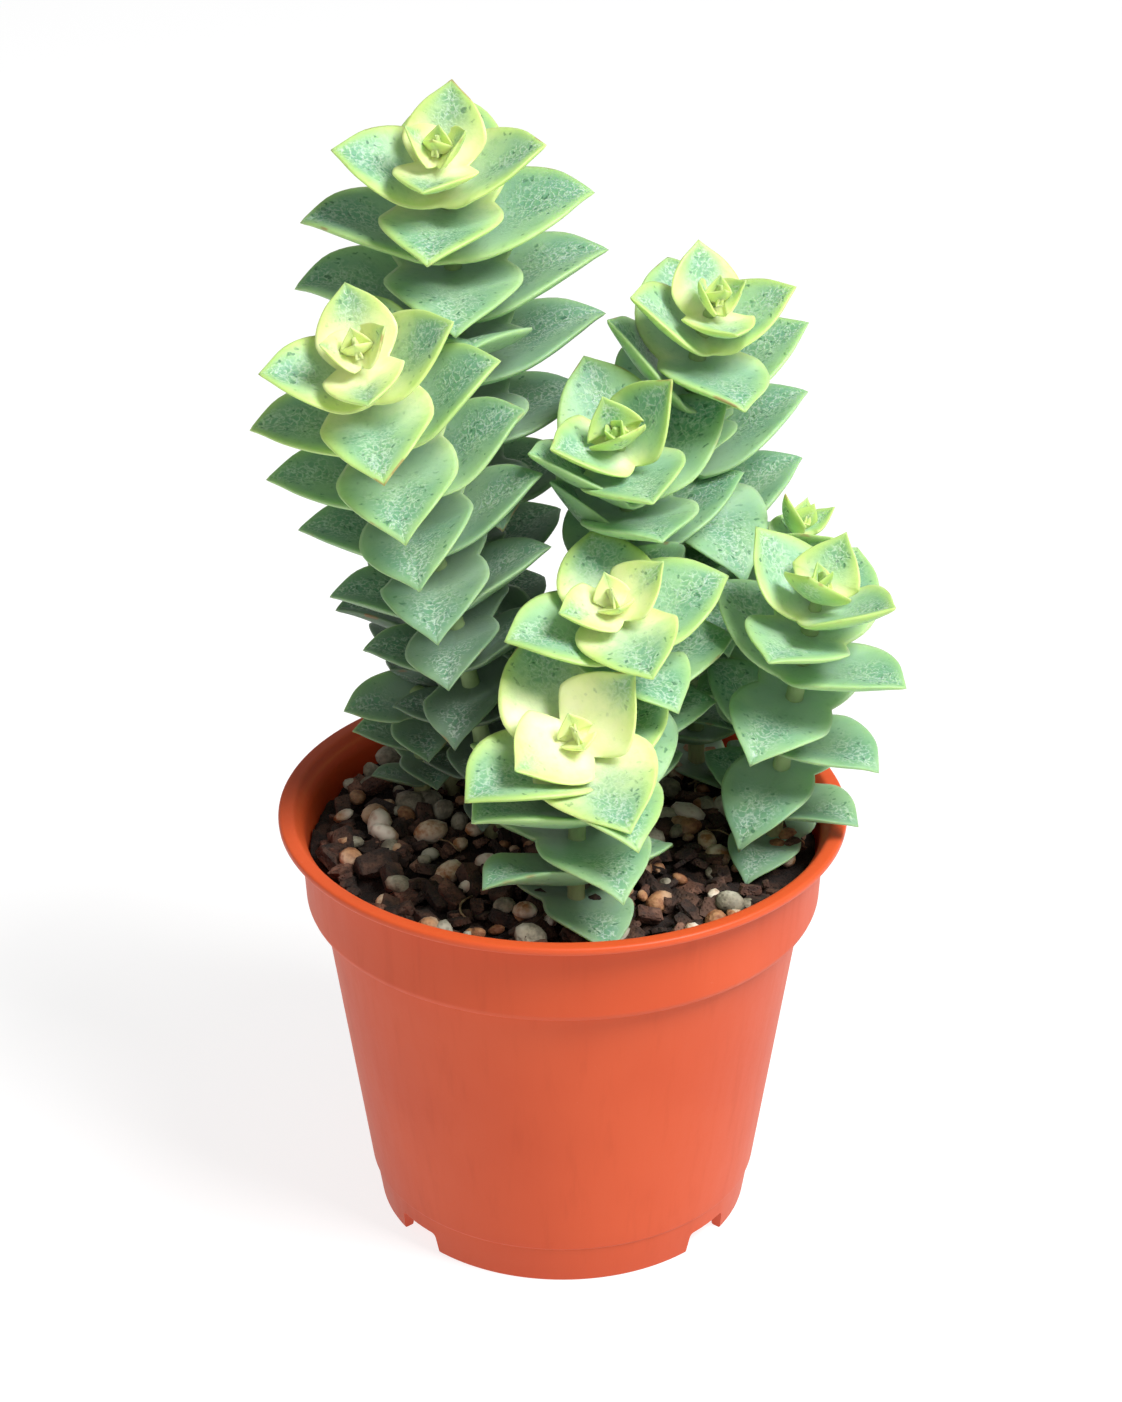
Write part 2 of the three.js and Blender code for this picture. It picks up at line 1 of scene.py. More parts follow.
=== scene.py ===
"""Dresses the potted string of buttons: its nursery pot, the gritty soil and nine leafy shoots."""

import logging
import math
import random
from collections.abc import Iterable
from dataclasses import dataclass, field
from enum import Enum
from functools import cached_property
from typing import Any

import bmesh
import bpy
from mathutils import Matrix, Vector, noise
from mathutils.bvhtree import BVHTree


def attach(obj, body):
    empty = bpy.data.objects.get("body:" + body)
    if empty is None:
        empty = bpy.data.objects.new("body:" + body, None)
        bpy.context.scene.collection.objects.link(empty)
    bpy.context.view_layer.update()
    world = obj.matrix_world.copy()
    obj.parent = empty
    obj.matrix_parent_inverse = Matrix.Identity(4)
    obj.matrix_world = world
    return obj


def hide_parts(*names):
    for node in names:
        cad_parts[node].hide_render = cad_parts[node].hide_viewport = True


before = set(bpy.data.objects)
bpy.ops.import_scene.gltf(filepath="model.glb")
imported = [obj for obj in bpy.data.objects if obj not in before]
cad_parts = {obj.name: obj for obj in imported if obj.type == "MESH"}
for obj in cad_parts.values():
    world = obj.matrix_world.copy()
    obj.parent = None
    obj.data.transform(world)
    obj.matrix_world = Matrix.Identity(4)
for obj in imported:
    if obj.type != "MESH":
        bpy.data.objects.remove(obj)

LOG = logging.getLogger("string_of_buttons")
MM = 0.001
BODY = "root"
SEED = 29
TRAITS = ("youth", "painted_shade", "edge", "along", "across", "upper")
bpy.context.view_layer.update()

# ---------------------------------------------------------------- shader maths


class Tone:
    """A socket of a finish, on which Python's operators add Math nodes."""

    def __init__(self, sheet: "FinishSheet", socket: bpy.types.NodeSocket) -> None:
        """Wraps one output socket of a sheet."""
        self.sheet = sheet
        self.socket = socket

    def maths(self, operation: str, *terms: "Tone | float") -> "Tone":
        """Adds one Math node.

        Args:
            operation: the Math node's operation.
            terms: the values or sockets it works on, in order.

        Returns:
            The node's result.
        """
        settings = {"operation": operation}
        return self.sheet.node("ShaderNodeMath", settings, dict(enumerate(terms)))[0]

    def __add__(self, other: "Tone | float") -> "Tone":
        """Sum of this and a value."""
        return self.maths("ADD", self, other)

    def __radd__(self, other: float) -> "Tone":
        """Sum of a value and this."""
        return self.maths("ADD", other, self)

    def __sub__(self, other: "Tone | float") -> "Tone":
        """This less a value."""
        return self.maths("SUBTRACT", self, other)

    def __rsub__(self, other: float) -> "Tone":
        """A value less this."""
        return self.maths("SUBTRACT", other, self)

    def __mul__(self, other: "Tone | float") -> "Tone":
        """Product of this and a value."""
        return self.maths("MULTIPLY", self, other)

    def __rmul__(self, other: float) -> "Tone":
        """Product of a value and this."""
        return self.maths("MULTIPLY", other, self)

    def __pow__(self, power: float) -> "Tone":
        """This raised to a power."""
        return self.maths("POWER", self, power)

    def least(self, other: float) -> "Tone":
        """The smaller of this and a number."""
        return self.maths("MINIMUM", self, other)

    def size(self) -> "Tone":
        """This without its sign."""
        return self.maths("ABSOLUTE", self)

    def step(self, low: float, high: float) -> "Tone":
        """A smooth rise from 0 at low to 1 at high.

        Args:
            low: the value that gives 0.
            high: the value that gives 1; it may be the smaller one.

        Returns:
            The eased result.
        """
        if low > high:
            return 1.0 - self.step(high, low)
        values = {"Value": self, "From Min": low, "From Max": high}
        settings = {"interpolation_type": "SMOOTHSTEP"}
        return self.sheet.node("ShaderNodeMapRange", settings, values)["Result"]


class Gap(Enum):
    """Which distance a pattern of cells shows."""

    TO_MIDDLE = "F1"
    TO_BORDER = "DISTANCE_TO_EDGE"


class Outputs:
    """The outputs of one node, picked by name or number."""

    def __init__(self, sheet: "FinishSheet", node: bpy.types.Node) -> None:
        """Keeps the node with the sheet it lies on."""
        self.sheet = sheet
        self.node = node

    def __getitem__(self, key: str | int) -> Tone:
        """The output of that name or number."""
        return Tone(self.sheet, self.node.outputs[key])


def colour(code: str) -> tuple[float, float, float, float]:
    """Turns a web colour into the linear colour that shaders take.

    Args:
        code: six hexadecimal digits.

    Returns:
        Linear red, green, blue and a full alpha.
    """
    parts = [int(code[i:i + 2], 16) / 255 for i in (0, 2, 4)]
    linear = [p / 12.92 if p <= 0.04045 else ((p + 0.055) / 1.055) ** 2.4 for p in parts]
    return (linear[0], linear[1], linear[2], 1.0)


class FinishSheet:
    """The node sheet of one material, which ends in a Principled shader."""

    def __init__(self, name: str) -> None:
        """Starts an empty sheet for a material of that name."""
        self.material = bpy.data.materials.new(name)
        self.material.use_nodes = True
        self.tree = self.material.node_tree
        self.tree.nodes.clear()

    def node(self, kind: str, settings: dict[str, Any], inputs: dict[Any, Any]) -> Outputs:
        """Adds one node.

        Args:
            kind: the node's type.
            settings: its own settings, set first.
            inputs: a value or a Tone for each socket, by name or number.

        Returns:
            The node's outputs.
        """
        made = self.tree.nodes.new(kind)
        for name, value in settings.items():
            setattr(made, name, value)
        for key, value in inputs.items():
            if isinstance(value, Tone):
                self.tree.links.new(value.socket, made.inputs[key])
            else:
                made.inputs[key].default_value = value
        return Outputs(self, made)

    def place(self) -> Tone:
        """The piece's own coordinates, in metres."""
        return self.node("ShaderNodeTexCoord", {}, {})["Object"]

    def height(self) -> Tone:
        """The piece's own height, in metres."""
        return self.node("ShaderNodeSeparateXYZ", {}, {"Vector": self.place()})["Z"]

    def stretched(self, scale: tuple[float, float, float]) -> Tone:
        """The piece's own coordinates, scaled along each axis."""
        inputs = {"Vector": self.place(), "Scale": scale}
        return self.node("ShaderNodeMapping", {}, inputs)["Vector"]

    def trait(self, name: str) -> Tone:
        """A number that the mesh carries under that name."""
        return self.node("ShaderNodeAttribute", {"attribute_name": name}, {})["Fac"]

    def cloud(self, size_mm: float, detail: float = 3.0, rough: float = 0.55,
              over: Tone | None = None) -> Tone:
        """Soft noise from 0 to 1.

        Args:
            size_mm: the size of its largest lumps.
            detail: how many finer layers it has.
            rough: how strong the finer layers are.
            over: the coordinates it is laid over, or the piece's own.

        Returns:
            The noise.
        """
        inputs = {"Vector": over or self.place(), "Scale": 1 / (size_mm * MM),
                  "Detail": detail, "Roughness": rough}
        return self.node("ShaderNodeTexNoise", {}, inputs)["Fac"]

    def cells(self, size_mm: float, gap: Gap = Gap.TO_MIDDLE, over: Tone | None = None) -> Tone:
        """Distance pattern of scattered cells.

        Args:
            size_mm: the size of a cell.
            gap: which distance is measured.
            over: the coordinates it is laid over, or the piece's own.

        Returns:
            The distance, in cells.
        """
        inputs = {"Vector": over or self.place(), "Scale": 1 / (size_mm * MM)}
        return self.node("ShaderNodeTexVoronoi", {"feature": gap.value}, inputs)["Distance"]

    def mix(self, share: Tone, first: Tone | str, second: Tone | str) -> Tone:
        """Mixes two colours.

        Args:
            share: how much of the second there is.
            first: the Tone or web colour underneath.
            second: the Tone or web colour on top.

        Returns:
            The mixed colour.
        """
        under, over = (colour(c) if isinstance(c, str) else c for c in (first, second))
        settings = {"data_type": "RGBA", "clamp_factor": True}
        return self.node("ShaderNodeMix", settings, {0: share, 6: under, 7: over})[2]

    def relief(self, height: Tone, depth_mm: float, strength: float = 1.0) -> Tone:
        """Turns a height pattern into a bump.

        Args:
            height: the pattern.
            depth_mm: how deep a change of 1 is.
            strength: how much of it shows.

        Returns:
            The bumped normal.
        """
        inputs = {"Height": height, "Distance": depth_mm * MM, "Strength": strength}
        return self.node("ShaderNodeBump", {}, inputs)["Normal"]

    def finish(self, inputs: dict[str, Any]) -> bpy.types.Material:
        """Closes the sheet.

        Args:
            inputs: the shader's values and links by socket name.

        Returns:
            The finished material.
        """
        shader = self.node("ShaderNodeBsdfPrincipled", {}, inputs)["BSDF"]
        self.node("ShaderNodeOutputMaterial", {}, {"Surface": shader})
        return self.material


# ---------------------------------------------------------------- finishes


@dataclass(frozen=True)
class PotPlastic:
    """Satin orange plastic with faint flow marks and a painted highlight on the lip.

    lip and foot: heights in metres over which the painted highlight on the lip and the darkening
    towards the foot set in.
    """

    main: str = "cb4c20"
    light: str = "d6572b"
    deep: str = "b6421c"
    scuff: str = "e39a7c"
    broad_mm: float = 26
    fine_mm: float = 1.3
    flow_mm: float = 2.2
    flow_stretch: tuple[float, float, float] = (1.0, 1.0, 0.09)
    lip: tuple[float, float] = (0.0672, 0.0702)
    foot: tuple[float, float] = (0.012, 0.001)

    def material(self) -> bpy.types.Material:
        """Builds the material."""
        sheet = FinishSheet("pot_plastic")
        broad = sheet.cloud(self.broad_mm, 2.0)
        fine = sheet.cloud(self.fine_mm, 4.0, 0.7)
        flow = sheet.cloud(self.flow_mm, 3.0, 0.6, sheet.stretched(self.flow_stretch))
        height = sheet.height()
        lip = height.step(*self.lip)
        tint = sheet.mix(broad.step(0.3, 0.7) * 0.55, self.main, self.light)
        tint = sheet.mix(flow.step(0.52, 0.78) * 0.22, tint, self.deep)
        # Painted highlight: the lip is lightened towards the light tone.
        tint = sheet.mix(lip * 0.55, tint, self.light)
        specks = fine.step(0.69, 0.78) * broad.step(0.42, 0.62)
        tint = sheet.mix(specks * 0.3, tint, self.scuff)
        # Darker towards the foot.
        tint = sheet.mix(height.step(*self.foot) * 0.25, tint, self.deep)
        rough = 0.40 + 0.12 * flow + 0.08 * fine - 0.06 * lip
        grain = flow * 0.7 + fine * 0.5
        return sheet.finish({
            "Base Color": tint, "Roughness": rough, "Normal": sheet.relief(grain, 0.10, 0.35),
            "IOR": 1.49, "Specular IOR Level": 0.32, "Subsurface Weight": 0.04,
            "Subsurface Radius": (0.004, 0.001, 0.0006), "Subsurface Scale": 1.0,
        })


@dataclass(frozen=True)
class LeafFinish:
    """Waxy leaf: cream and lime when young, sage with a lime margin when grown.

    The names in _mm are sizes of patterns. margin, rim and inner: distances from the margin, in
    millimetres, over which the lime glow and the fine rim fade and the net and the dots set in.
    warp_scale and warp_reach: how finely and how far, in metres, the cells are bent.
    """

    cream: str = "f5f9c8"
    lime: str = "cde86a"
    fresh: str = "acd583"
    sage: str = "aad3a4"
    blue: str = "83b795"
    pale: str = "c4e2c8"
    deep: str = "66a07c"
    # Grey-green of the painted shade on the lower leaves.
    painted_shade: str = "66796a"
    rim_lime: str = "cbe07c"
    dot: str = "3f7254"
    mark: str = "d9e8da"
    scar: str = "9a6a4c"
    broad_mm: float = 9
    mid_mm: float = 2.6
    small_mm: float = 1.3
    fine_mm: float = 0.5
    net_mm: float = 1.05
    dot_mm: float = 1.5
    scar_mm: float = 5.5
    margin: tuple[float, float] = (3.6, 0.1)
    rim: tuple[float, float] = (0.2, 0.05)
    inner: tuple[float, float] = (0.4, 1.6)
    warp_scale: float = 620.0
    warp_reach: float = 0.0024

    def material(self) -> bpy.types.Material:
        """Builds the material."""
        sheet = FinishSheet("leaf_skin")
        youth, painted_shade, edge, along, across, upper = (sheet.trait(name) for name in TRAITS)
        broad = sheet.cloud(self.broad_mm, 2.0)
        mid = sheet.cloud(self.mid_mm, 4.0, 0.6)
        small = sheet.cloud(self.small_mm, 4.0, 0.65)
        fine = sheet.cloud(self.fine_mm, 3.0, 0.65)
        spine = across.size().step(0.9, 0.05)

        # The grown leaf: marbled, paler at the base and underneath.
        grown = sheet.mix(broad.step(0.32, 0.68), self.sage, self.blue)
        grown = sheet.mix(mid.step(0.48, 0.75) * 0.3, grown, self.fresh)
        grown = sheet.mix(along.step(0.35, 0.95) * 0.35, grown, self.deep)
        grown = sheet.mix(small.step(0.5, 0.72) * 0.4, grown, self.deep)
        grown = sheet.mix(along.step(0.62, 0.1) * upper * 0.6, grown, self.pale)
        grown = sheet.mix((1.0 - upper) * 0.3, grown, self.fresh)
        # Painted shade: the lower, shaded leaves are greyed and darkened.
        grown = sheet.mix(painted_shade, grown, self.painted_shade)

        # The young leaf, which the grown colours cover from the tip and the middle.
        ripening = (1.6 - youth).least(1.0)
        ripe = ripening * (along.step(0.12, 0.85) * 0.7 + mid.step(0.35, 0.75) * 0.25)
        young = sheet.mix(ripe, self.cream, self.lime)
        patch = along * 1.35 + spine * 0.35 + (mid - 0.5) * 0.5 + (broad - 0.5) * 0.3
        cover = (patch + 1.3 - youth * 2.0).step(0.15, 1.3)
        tint = sheet.mix(cover, young, grown)

        # Lime margins.
        warm = (youth * 2.2 + 0.12).least(1.0) * (1.0 - 0.85 * painted_shade)
        glow = warm * ripening * (edge.step(*self.margin) ** 1.5 * 0.5 + (1.0 - upper) * 0.12)
        tint = sheet.mix(glow, tint, self.lime)
        tint = sheet.mix(edge.step(*self.rim) * (0.12 - 0.1 * painted_shade), tint, self.rim_lime)

        # The whitish net along the midrib, dark dots, and scars near the tip.
        warp = sheet.node("ShaderNodeTexNoise", {},
                          {"Vector": sheet.place(), "Scale": self.warp_scale})["Color"]
        bent = sheet.node("ShaderNodeVectorMath", {"operation": "MULTIPLY_ADD"}, {
            0: warp, 1: [self.warp_reach] * 3, 2: sheet.place()})["Vector"]
        inner = edge.step(*self.inner)
        worn = (mid * 0.7 + broad * 0.5 + 0.25 * along + 0.3 * spine).step(0.74, 1.0)
        worn = worn * along.step(0.18, 0.55) * (0.25 + 0.75 * spine) * inner * cover
        web = sheet.cells(self.net_mm, Gap.TO_BORDER, bent)
        net = web.step(0.2, 0.02) * fine.step(0.38, 0.58)
        tint = sheet.mix(web.step(0.1, 0.3) * worn * 0.45, tint, self.deep)
        tint = sheet.mix(net * worn * 0.58, tint, self.mark)
        dots = sheet.cells(self.dot_mm, over=bent).step(0.3, 0.14) * mid.step(0.4, 0.56)
        dots = dots * inner * (0.12 + 0.88 * along.step(0.1, 0.7)) * (0.35 + 0.65 * cover)
        tint = sheet.mix(dots * 0.8, tint, self.dot)
        scars = sheet.cloud(self.scar_mm, 2.0).step(0.6, 0.7)
        scars = scars * edge.step(0.5, 0.1) * along.step(0.5, 0.8)
        tint = sheet.mix(scars * 0.7, tint, self.scar)

        rough = 0.34 + 0.16 * mid - 0.04 * youth + 0.14 * painted_shade
        groove = across.size().step(0.10, 0.0) * upper
        height = mid * 0.5 + fine * 0.25 - dots * 0.25 + net * worn * 0.4 - groove * 0.25
        return sheet.finish({
            "Base Color": tint, "Roughness": rough, "Normal": sheet.relief(height, 0.28, 0.55),
            "IOR": 1.42, "Specular IOR Level": 0.42, "Subsurface Weight": 0.3,
            "Subsurface Radius": (0.0022, 0.0030, 0.0009), "Subsurface Scale": 1.0,
        })


@dataclass(frozen=True)
class StemFinish:
    """Pale green stem, woody near the soil; woody_from gives the heights, in metres."""

    pale: str = "b3c78c"
    green: str = "8fae76"
    woody: str = "9a8a63"
    mottle_mm: float = 2.0
    streak_mm: float = 0.7
    streak_stretch: tuple[float, float, float] = (1.0, 1.0, 0.2)
    woody_from: tuple[float, float] = (0.078, 0.062)

    def material(self) -> bpy.types.Material:
        """Builds the material."""
        sheet = FinishSheet("stem_skin")
        mottle = sheet.cloud(self.mottle_mm, 3.0)
        streak = sheet.cloud(self.streak_mm, 3.0, 0.6, sheet.stretched(self.streak_stretch))
        tint = sheet.mix(mottle, self.pale, self.green)
        old = sheet.height().step(*self.woody_from) * 0.8
        tint = sheet.mix(old + streak.step(0.6, 0.8) * 0.2, tint, self.woody)
        return sheet.finish({
            "Base Color": tint, "Roughness": 0.5 + 0.2 * streak,
            "Normal": sheet.relief(streak + mottle * 0.5, 0.15, 0.6),
            "Subsurface Weight": 0.12, "Subsurface Radius": (0.002, 0.0025, 0.0008),
            "Subsurface Scale": 1.0,
        })


@dataclass(frozen=True)
class GritFinish:
    """Mineral or bark surface of three mottled tones.

    low, mid and high: the tones. grain: size of the mottling, in millimetres. rough: least
    roughness. depth: depth of the relief, in millimetres. fibres: stretch of the mottling.
    """

    name: str
    low: str
    mid: str
    high: str
    grain: float = 1.6
    rough: float = 0.8
    depth: float = 0.25
    fibres: tuple[float, float, float] = (1.0, 1.0, 1.0)

    def material(self) -> bpy.types.Material:
        """Builds the material."""
        sheet = FinishSheet(self.name)
        broad = sheet.cloud(self.grain * 3.5, 2.0)
        mottle = sheet.cloud(self.grain, 5.0, 0.65, sheet.stretched(self.fibres))
        pores = sheet.cells(self.grain * 0.5).step(0.1, 0.5)
        tint = sheet.mix(mottle.step(0.35, 0.65), self.low, self.mid)
        tint = sheet.mix(broad.step(0.45, 0.68) * 0.85, tint, self.high)
        tint = sheet.mix((1.0 - pores) * 0.35, tint, self.low)
        return sheet.finish({
            "Base Color": tint, "Roughness": self.rough + 0.15 * mottle,
            "Normal": sheet.relief(mottle + pores * 0.5, self.depth, 0.8),
        })


# ---------------------------------------------------------------- making and placing meshes


def unique(items: Iterable[Any]) -> list[Any]:
    """The items without repeats and in their own order, which a set would shuffle in each run."""
    return list(dict.fromkeys(items))


def piece(name: str, shape: bmesh.types.BMesh, material: bpy.types.Material,
          crease: float | None = None) -> bpy.types.Object:
    """Turns a finished shape, in millimetres, into a piece that rides on the plant's one body.

    Args:
        name: the piece's name.
        shape: its mesh, which is freed.
        material: its finish.
        crease: faces that meet at a sharper angle than this, in degrees, keep their edge.

    Returns:
        The new object.
    """
    bmesh.ops.scale(shape, vec=(MM, MM, MM), verts=shape.verts)
    mesh = bpy.data.meshes.new(name)
    shape.to_mesh(mesh)
    shape.free()
    mesh.shade_smooth()
    if crease is not None:
        mesh.set_sharp_from_angle(angle=math.radians(crease))
    mesh.materials.append(material)
    made = bpy.data.objects.new(name, mesh)
    bpy.context.scene.collection.objects.link(made)
    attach(made, BODY)
    return made


def turned(profile: list[tuple[float, float]], steps: int) -> bmesh.types.BMesh:
    """Spins a closed profile round the upright axis.

    Args:
        profile: radius and height of each point, from axis to axis.
        steps: how many faces go round.

    Returns:
        The closed shape.
    """
    shape = bmesh.new()
    points = [shape.verts.new((r, 0, z)) for r, z in profile]
    edges = [shape.edges.new(pair) for pair in zip(points, points[1:])]
    bmesh.ops.spin(shape, geom=points + edges, cent=(0, 0, 0), axis=(0, 0, 1), dvec=(0, 0, 0),
                   angle=math.tau, steps=steps, use_merge=True, use_duplicate=False)
    bmesh.ops.remove_doubles(shape, verts=shape.verts, dist=1e-4)
    bmesh.ops.recalc_face_normals(shape, faces=shape.faces)
    return shape


def rounded(profile: list[tuple[float, float, float]], bends: int = 4) -> list[tuple[float, float]]:
    """Rounds the corners of a profile.

    Args:
        profile: radius and height of each point, and how far back from it its rounding starts.
        bends: how many faces a rounding has.

    Returns:
        Radius and height of each point of the rounded profile.
    """
    result: list[tuple[float, float]] = []
    for i, (radius, height, back) in enumerate(profile):
        if not back:
            result.append((radius, height))
            continue
        here = Vector((radius, height))
        before = here + (Vector(profile[i - 1][:2]) - here).normalized() * back
        after = here + (Vector(profile[i + 1][:2]) - here).normalized() * back
        for k in range(bends + 1):
            t = k / bends
            spot = before * (1 - t) ** 2 + here * 2 * t * (1 - t) + after * t * t
            result.append((spot.x, spot.y))
    return result


def carved(shape: bmesh.types.BMesh, tool: bmesh.types.BMesh) -> bmesh.types.BMesh:
    """Cuts one closed shape out of another.

    Args:
        shape: what is cut; it is freed.
        tool: what is taken away; it is freed.

    Returns:
        The shape that is left.
    """
    made = []
    for part in (shape, tool):
        mesh = bpy.data.meshes.new("carving")
        part.to_mesh(mesh)
        part.free()
        item = bpy.data.objects.new("carving", mesh)
        bpy.context.scene.collection.objects.link(item)
        made.append(item)
    cut = made[0].modifiers.new("cut", "BOOLEAN")
    cut.operation = "DIFFERENCE"
    cut.solver = "EXACT"
    cut.object = made[1]
    bpy.context.view_layer.update()
    result = bmesh.new()
    result.from_object(made[0], bpy.context.evaluated_depsgraph_get())
    for item in made:
        mesh = item.data
        bpy.data.objects.remove(item)
        bpy.data.meshes.remove(mesh)
    return result


def tube(shape: bmesh.types.BMesh, spots: list[Vector], radii: list[float], sides: int) -> None:
    """Sweeps a circle along points and closes both ends.

    Args:
        shape: the mesh that it joins.
        spots: the middle of each ring.
        radii: the radius of each ring.
        sides: how many faces go round.
    """
    circle = bmesh.ops.create_circle(shape, cap_ends=True, segments=sides, radius=1.0)
    ring = circle["verts"]
    edges = unique(e for v in ring for e in v.link_edges)
    middle, across, beside = Vector((0, 0, 0)), Vector((1, 0, 0)), Vector((0, 1, 0))
    for i, (spot, radius) in enumerate(zip(spots, radii)):
        if i > 0:
            grown = bmesh.ops.extrude_edge_only(shape, edges=edges)["geom"]
            ring = [g for g in grown if isinstance(g, bmesh.types.BMVert)]
            edges = [g for g in grown if isinstance(g, bmesh.types.BMEdge)
                     and all(v in ring for v in g.verts)]
        ring = sorted(ring, key=lambda v: math.atan2(
            (v.co - middle).dot(beside), (v.co - middle).dot(across)))
        ahead = (spots[min(i + 1, len(spots) - 1)] - spots[max(i - 1, 0)]).normalized()
        across = Vector((1, 0, 0)) if abs(ahead.x) < 0.9 else Vector((0, 1, 0))
        across = (across - ahead * across.dot(ahead)).normalized()
        middle, beside = spot, ahead.cross(across)
        for k, vert in enumerate(ring):
            angle = -math.pi + math.tau * (k + 0.5) / sides
            vert.co = spot + radius * (math.cos(angle) * across + math.sin(angle) * beside)
    bmesh.ops.edgeloop_fill(shape, edges=edges)


class Solid:
    """A closed shape that is tested for what it crosses."""

    def __init__(self, points: list[Vector], faces: list[tuple[int, ...]]) -> None:
        """Keeps its points and faces, and its box."""
        self.points, self.faces = points, faces
        self.low = [min(p[k] for p in points) for k in range(3)]
        self.high = [max(p[k] for p in points) for k in range(3)]

    @classmethod
    def of_verts(cls, verts: list[bmesh.types.BMVert]) -> "Solid":
        """Copies what some vertices make up in a shape that is being built.

        Args:
            verts: the vertices.

        Returns:
            The solid.
        """
        number = {vert: i for i, vert in enumerate(verts)}
        faces = unique(face for vert in verts for face in vert.link_faces)
        corners = [tuple(number[v] for v in face.verts) for face in faces]
        return cls([vert.co.copy() for vert in verts], corners)

    @classmethod
    def of_mesh(cls, mesh: bpy.types.Mesh) -> "Solid":
        """Copies a finished mesh, in millimetres."""
        return cls([v.co / MM for v in mesh.vertices], [tuple(p.vertices) for p in mesh.polygons])

    @cached_property
    def tree(self) -> BVHTree:
        """The search tree over its faces."""
        return BVHTree.FromPolygons(self.points, self.faces)

    def crosses(self, other: "Solid") -> int:
        """Number of crossings between its faces and another solid's."""
        near = all(self.low[k] <= other.high[k] and self.high[k] >= other.low[k] for k in range(3))
        return len(self.tree.overlap(other.tree)) if near else 0


# ---------------------------------------------------------------- pot


@dataclass
class NurseryPot:
    """Round plastic nursery pot with a rolled lip, a collar and four notches in its foot."""

    lip_radius: float = 45.0
    height: float = 70.5
    lip_inner: float = 42.7
    lip_under: float = 69.2
    collar_top: float = 41.7
    collar_foot: float = 40.9
    collar_z: float = 55.6
    body_top: float = 38.5
    body_foot: float = 31.6
    step_z: float = 7.0
    foot_radius: float = 30.1
    wall: float = 0.95
    floor_under: float = 3.9
    floor: float = 5.1
    boss: float = 5.5
    notch_height: float = 3.7
    notch_foot: float = 9.4
    notch_top: float = 8.2
    notch_azimuths: tuple[int, ...] = (-140, -40, 40, 140)
    notch_reach: float = 5.0
    notch_below: float = 2.0
    notch_rounding: float = 0.7
    drain_radius: float = 3.2
    drain_ring: float = 17.0
    drain_middle: float = 5.0
    drain_depth: float = 6.0
    drains: int = 6
    drain_steps: int = 28
    steps: int = 144
    crease: float = 32

    def profile(self) -> list[tuple[float, float]]:
        """Half of the pot's cross-section, from the axis underneath to the axis inside.

        Returns:
            Radius and height of each point.
        """
        inner = self.collar_top - self.wall
        return rounded([
            (0.0, 0.0, 0.0),
            (self.boss, 0.0, 0.4), (self.boss + 0.6, self.floor_under, 0.4),
            (self.foot_radius - 1.9, self.floor_under, 0.3), (self.foot_radius - 1.6, 0.0, 0.3),
            (self.foot_radius, 0.0, 0.35), (self.body_foot - 0.45, self.step_z - 0.25, 0.15),
            (self.body_foot - 0.05, self.step_z + 0.05, 0.25),
            (self.body_top, self.collar_z - 0.3, 0.5),
            (self.collar_foot - 0.3, self.collar_z - 0.25, 0.3),
            (self.collar_foot + 0.05, self.collar_z + 0.6, 0.3),
            (self.collar_top, self.lip_under, 0.5), (self.lip_radius, self.lip_under, 0.55),
            (self.lip_radius, self.height, 0.6), (self.lip_inner, self.height, 0.6),
            (inner + 0.1, self.lip_under - 1.4, 1.2),
            (self.collar_foot - self.wall, self.collar_z + 0.7, 0.6),
            (self.body_top - self.wall, self.collar_z - 0.6, 0.6),
            (self.foot_radius - 0.4, self.floor, 1.2), (0.0, self.floor, 0.0),
        ])

    def notch_tool(self) -> bmesh.types.BMesh:
        """Wedges that open the foot for water to run out.

        Returns:
            One shape with a wedge for each notch.
        """
        tool = bmesh.new()
        for azimuth in self.notch_azimuths:
            made = bmesh.ops.create_cube(tool, size=1.0)["verts"]
            for vert in made:
                high = vert.co.z > 0
                vert.co.y *= self.notch_top if high else self.notch_foot
                vert.co.z = self.notch_height if high else -self.notch_below
                vert.co.x = self.foot_radius + math.copysign(self.notch_reach, vert.co.x)
            upright = [e for e in unique(e for v in made for e in v.link_edges)
                       if e.verts[0].co.z > 0 and e.verts[1].co.z > 0
                       and abs(e.verts[0].co.y - e.verts[1].co.y) < 1e-6]
            rounding = bmesh.ops.bevel(tool, geom=upright, offset=self.notch_rounding, segments=3,
                                       profile=0.5, affect="EDGES", material=-1)
            made = unique([*(v for v in made if v.is_valid), *rounding["verts"]])
            bmesh.ops.rotate(tool, verts=made, cent=(0, 0, 0),
                             matrix=Matrix.Rotation(math.radians(azimuth), 3, "Z"))
        return tool

    def drain_tool(self) -> bmesh.types.BMesh:
        """Posts that open the drain holes in the floor.

        Returns:
            One shape with a post for each hole.
        """
        tool = bmesh.new()
        for i in range(self.drains):
            angle = math.tau * i / self.drains
            place = Matrix.Translation((self.drain_ring * math.cos(angle),
                                        self.drain_ring * math.sin(angle), self.drain_middle))
            bmesh.ops.create_cone(tool, cap_ends=True, segments=self.drain_steps,
                                  radius1=self.drain_radius, radius2=self.drain_radius,
                                  depth=self.drain_depth, matrix=place)
        return tool

    def build(self) -> bpy.types.Object:
        """Makes the pot, which stands for its CAD node.

        Returns:
            The pot's piece.
        """
        shape = carved(turned(self.profile(), self.steps), self.notch_tool())
        shape = carved(shape, self.drain_tool())
        made = piece("nursery_pot", shape, PotPlastic().material(), self.crease)
        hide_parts("pot")
        return made


# ---------------------------------------------------------------- soil


class Form(Enum):
    """Shape of a loose piece: shares of its length for width and height, and its unevenness."""

    CHIP = ((0.4, 0.75), (0.22, 0.5), 0.16)
    STONE = ((0.7, 0.95), (0.55, 0.8), 0.10)


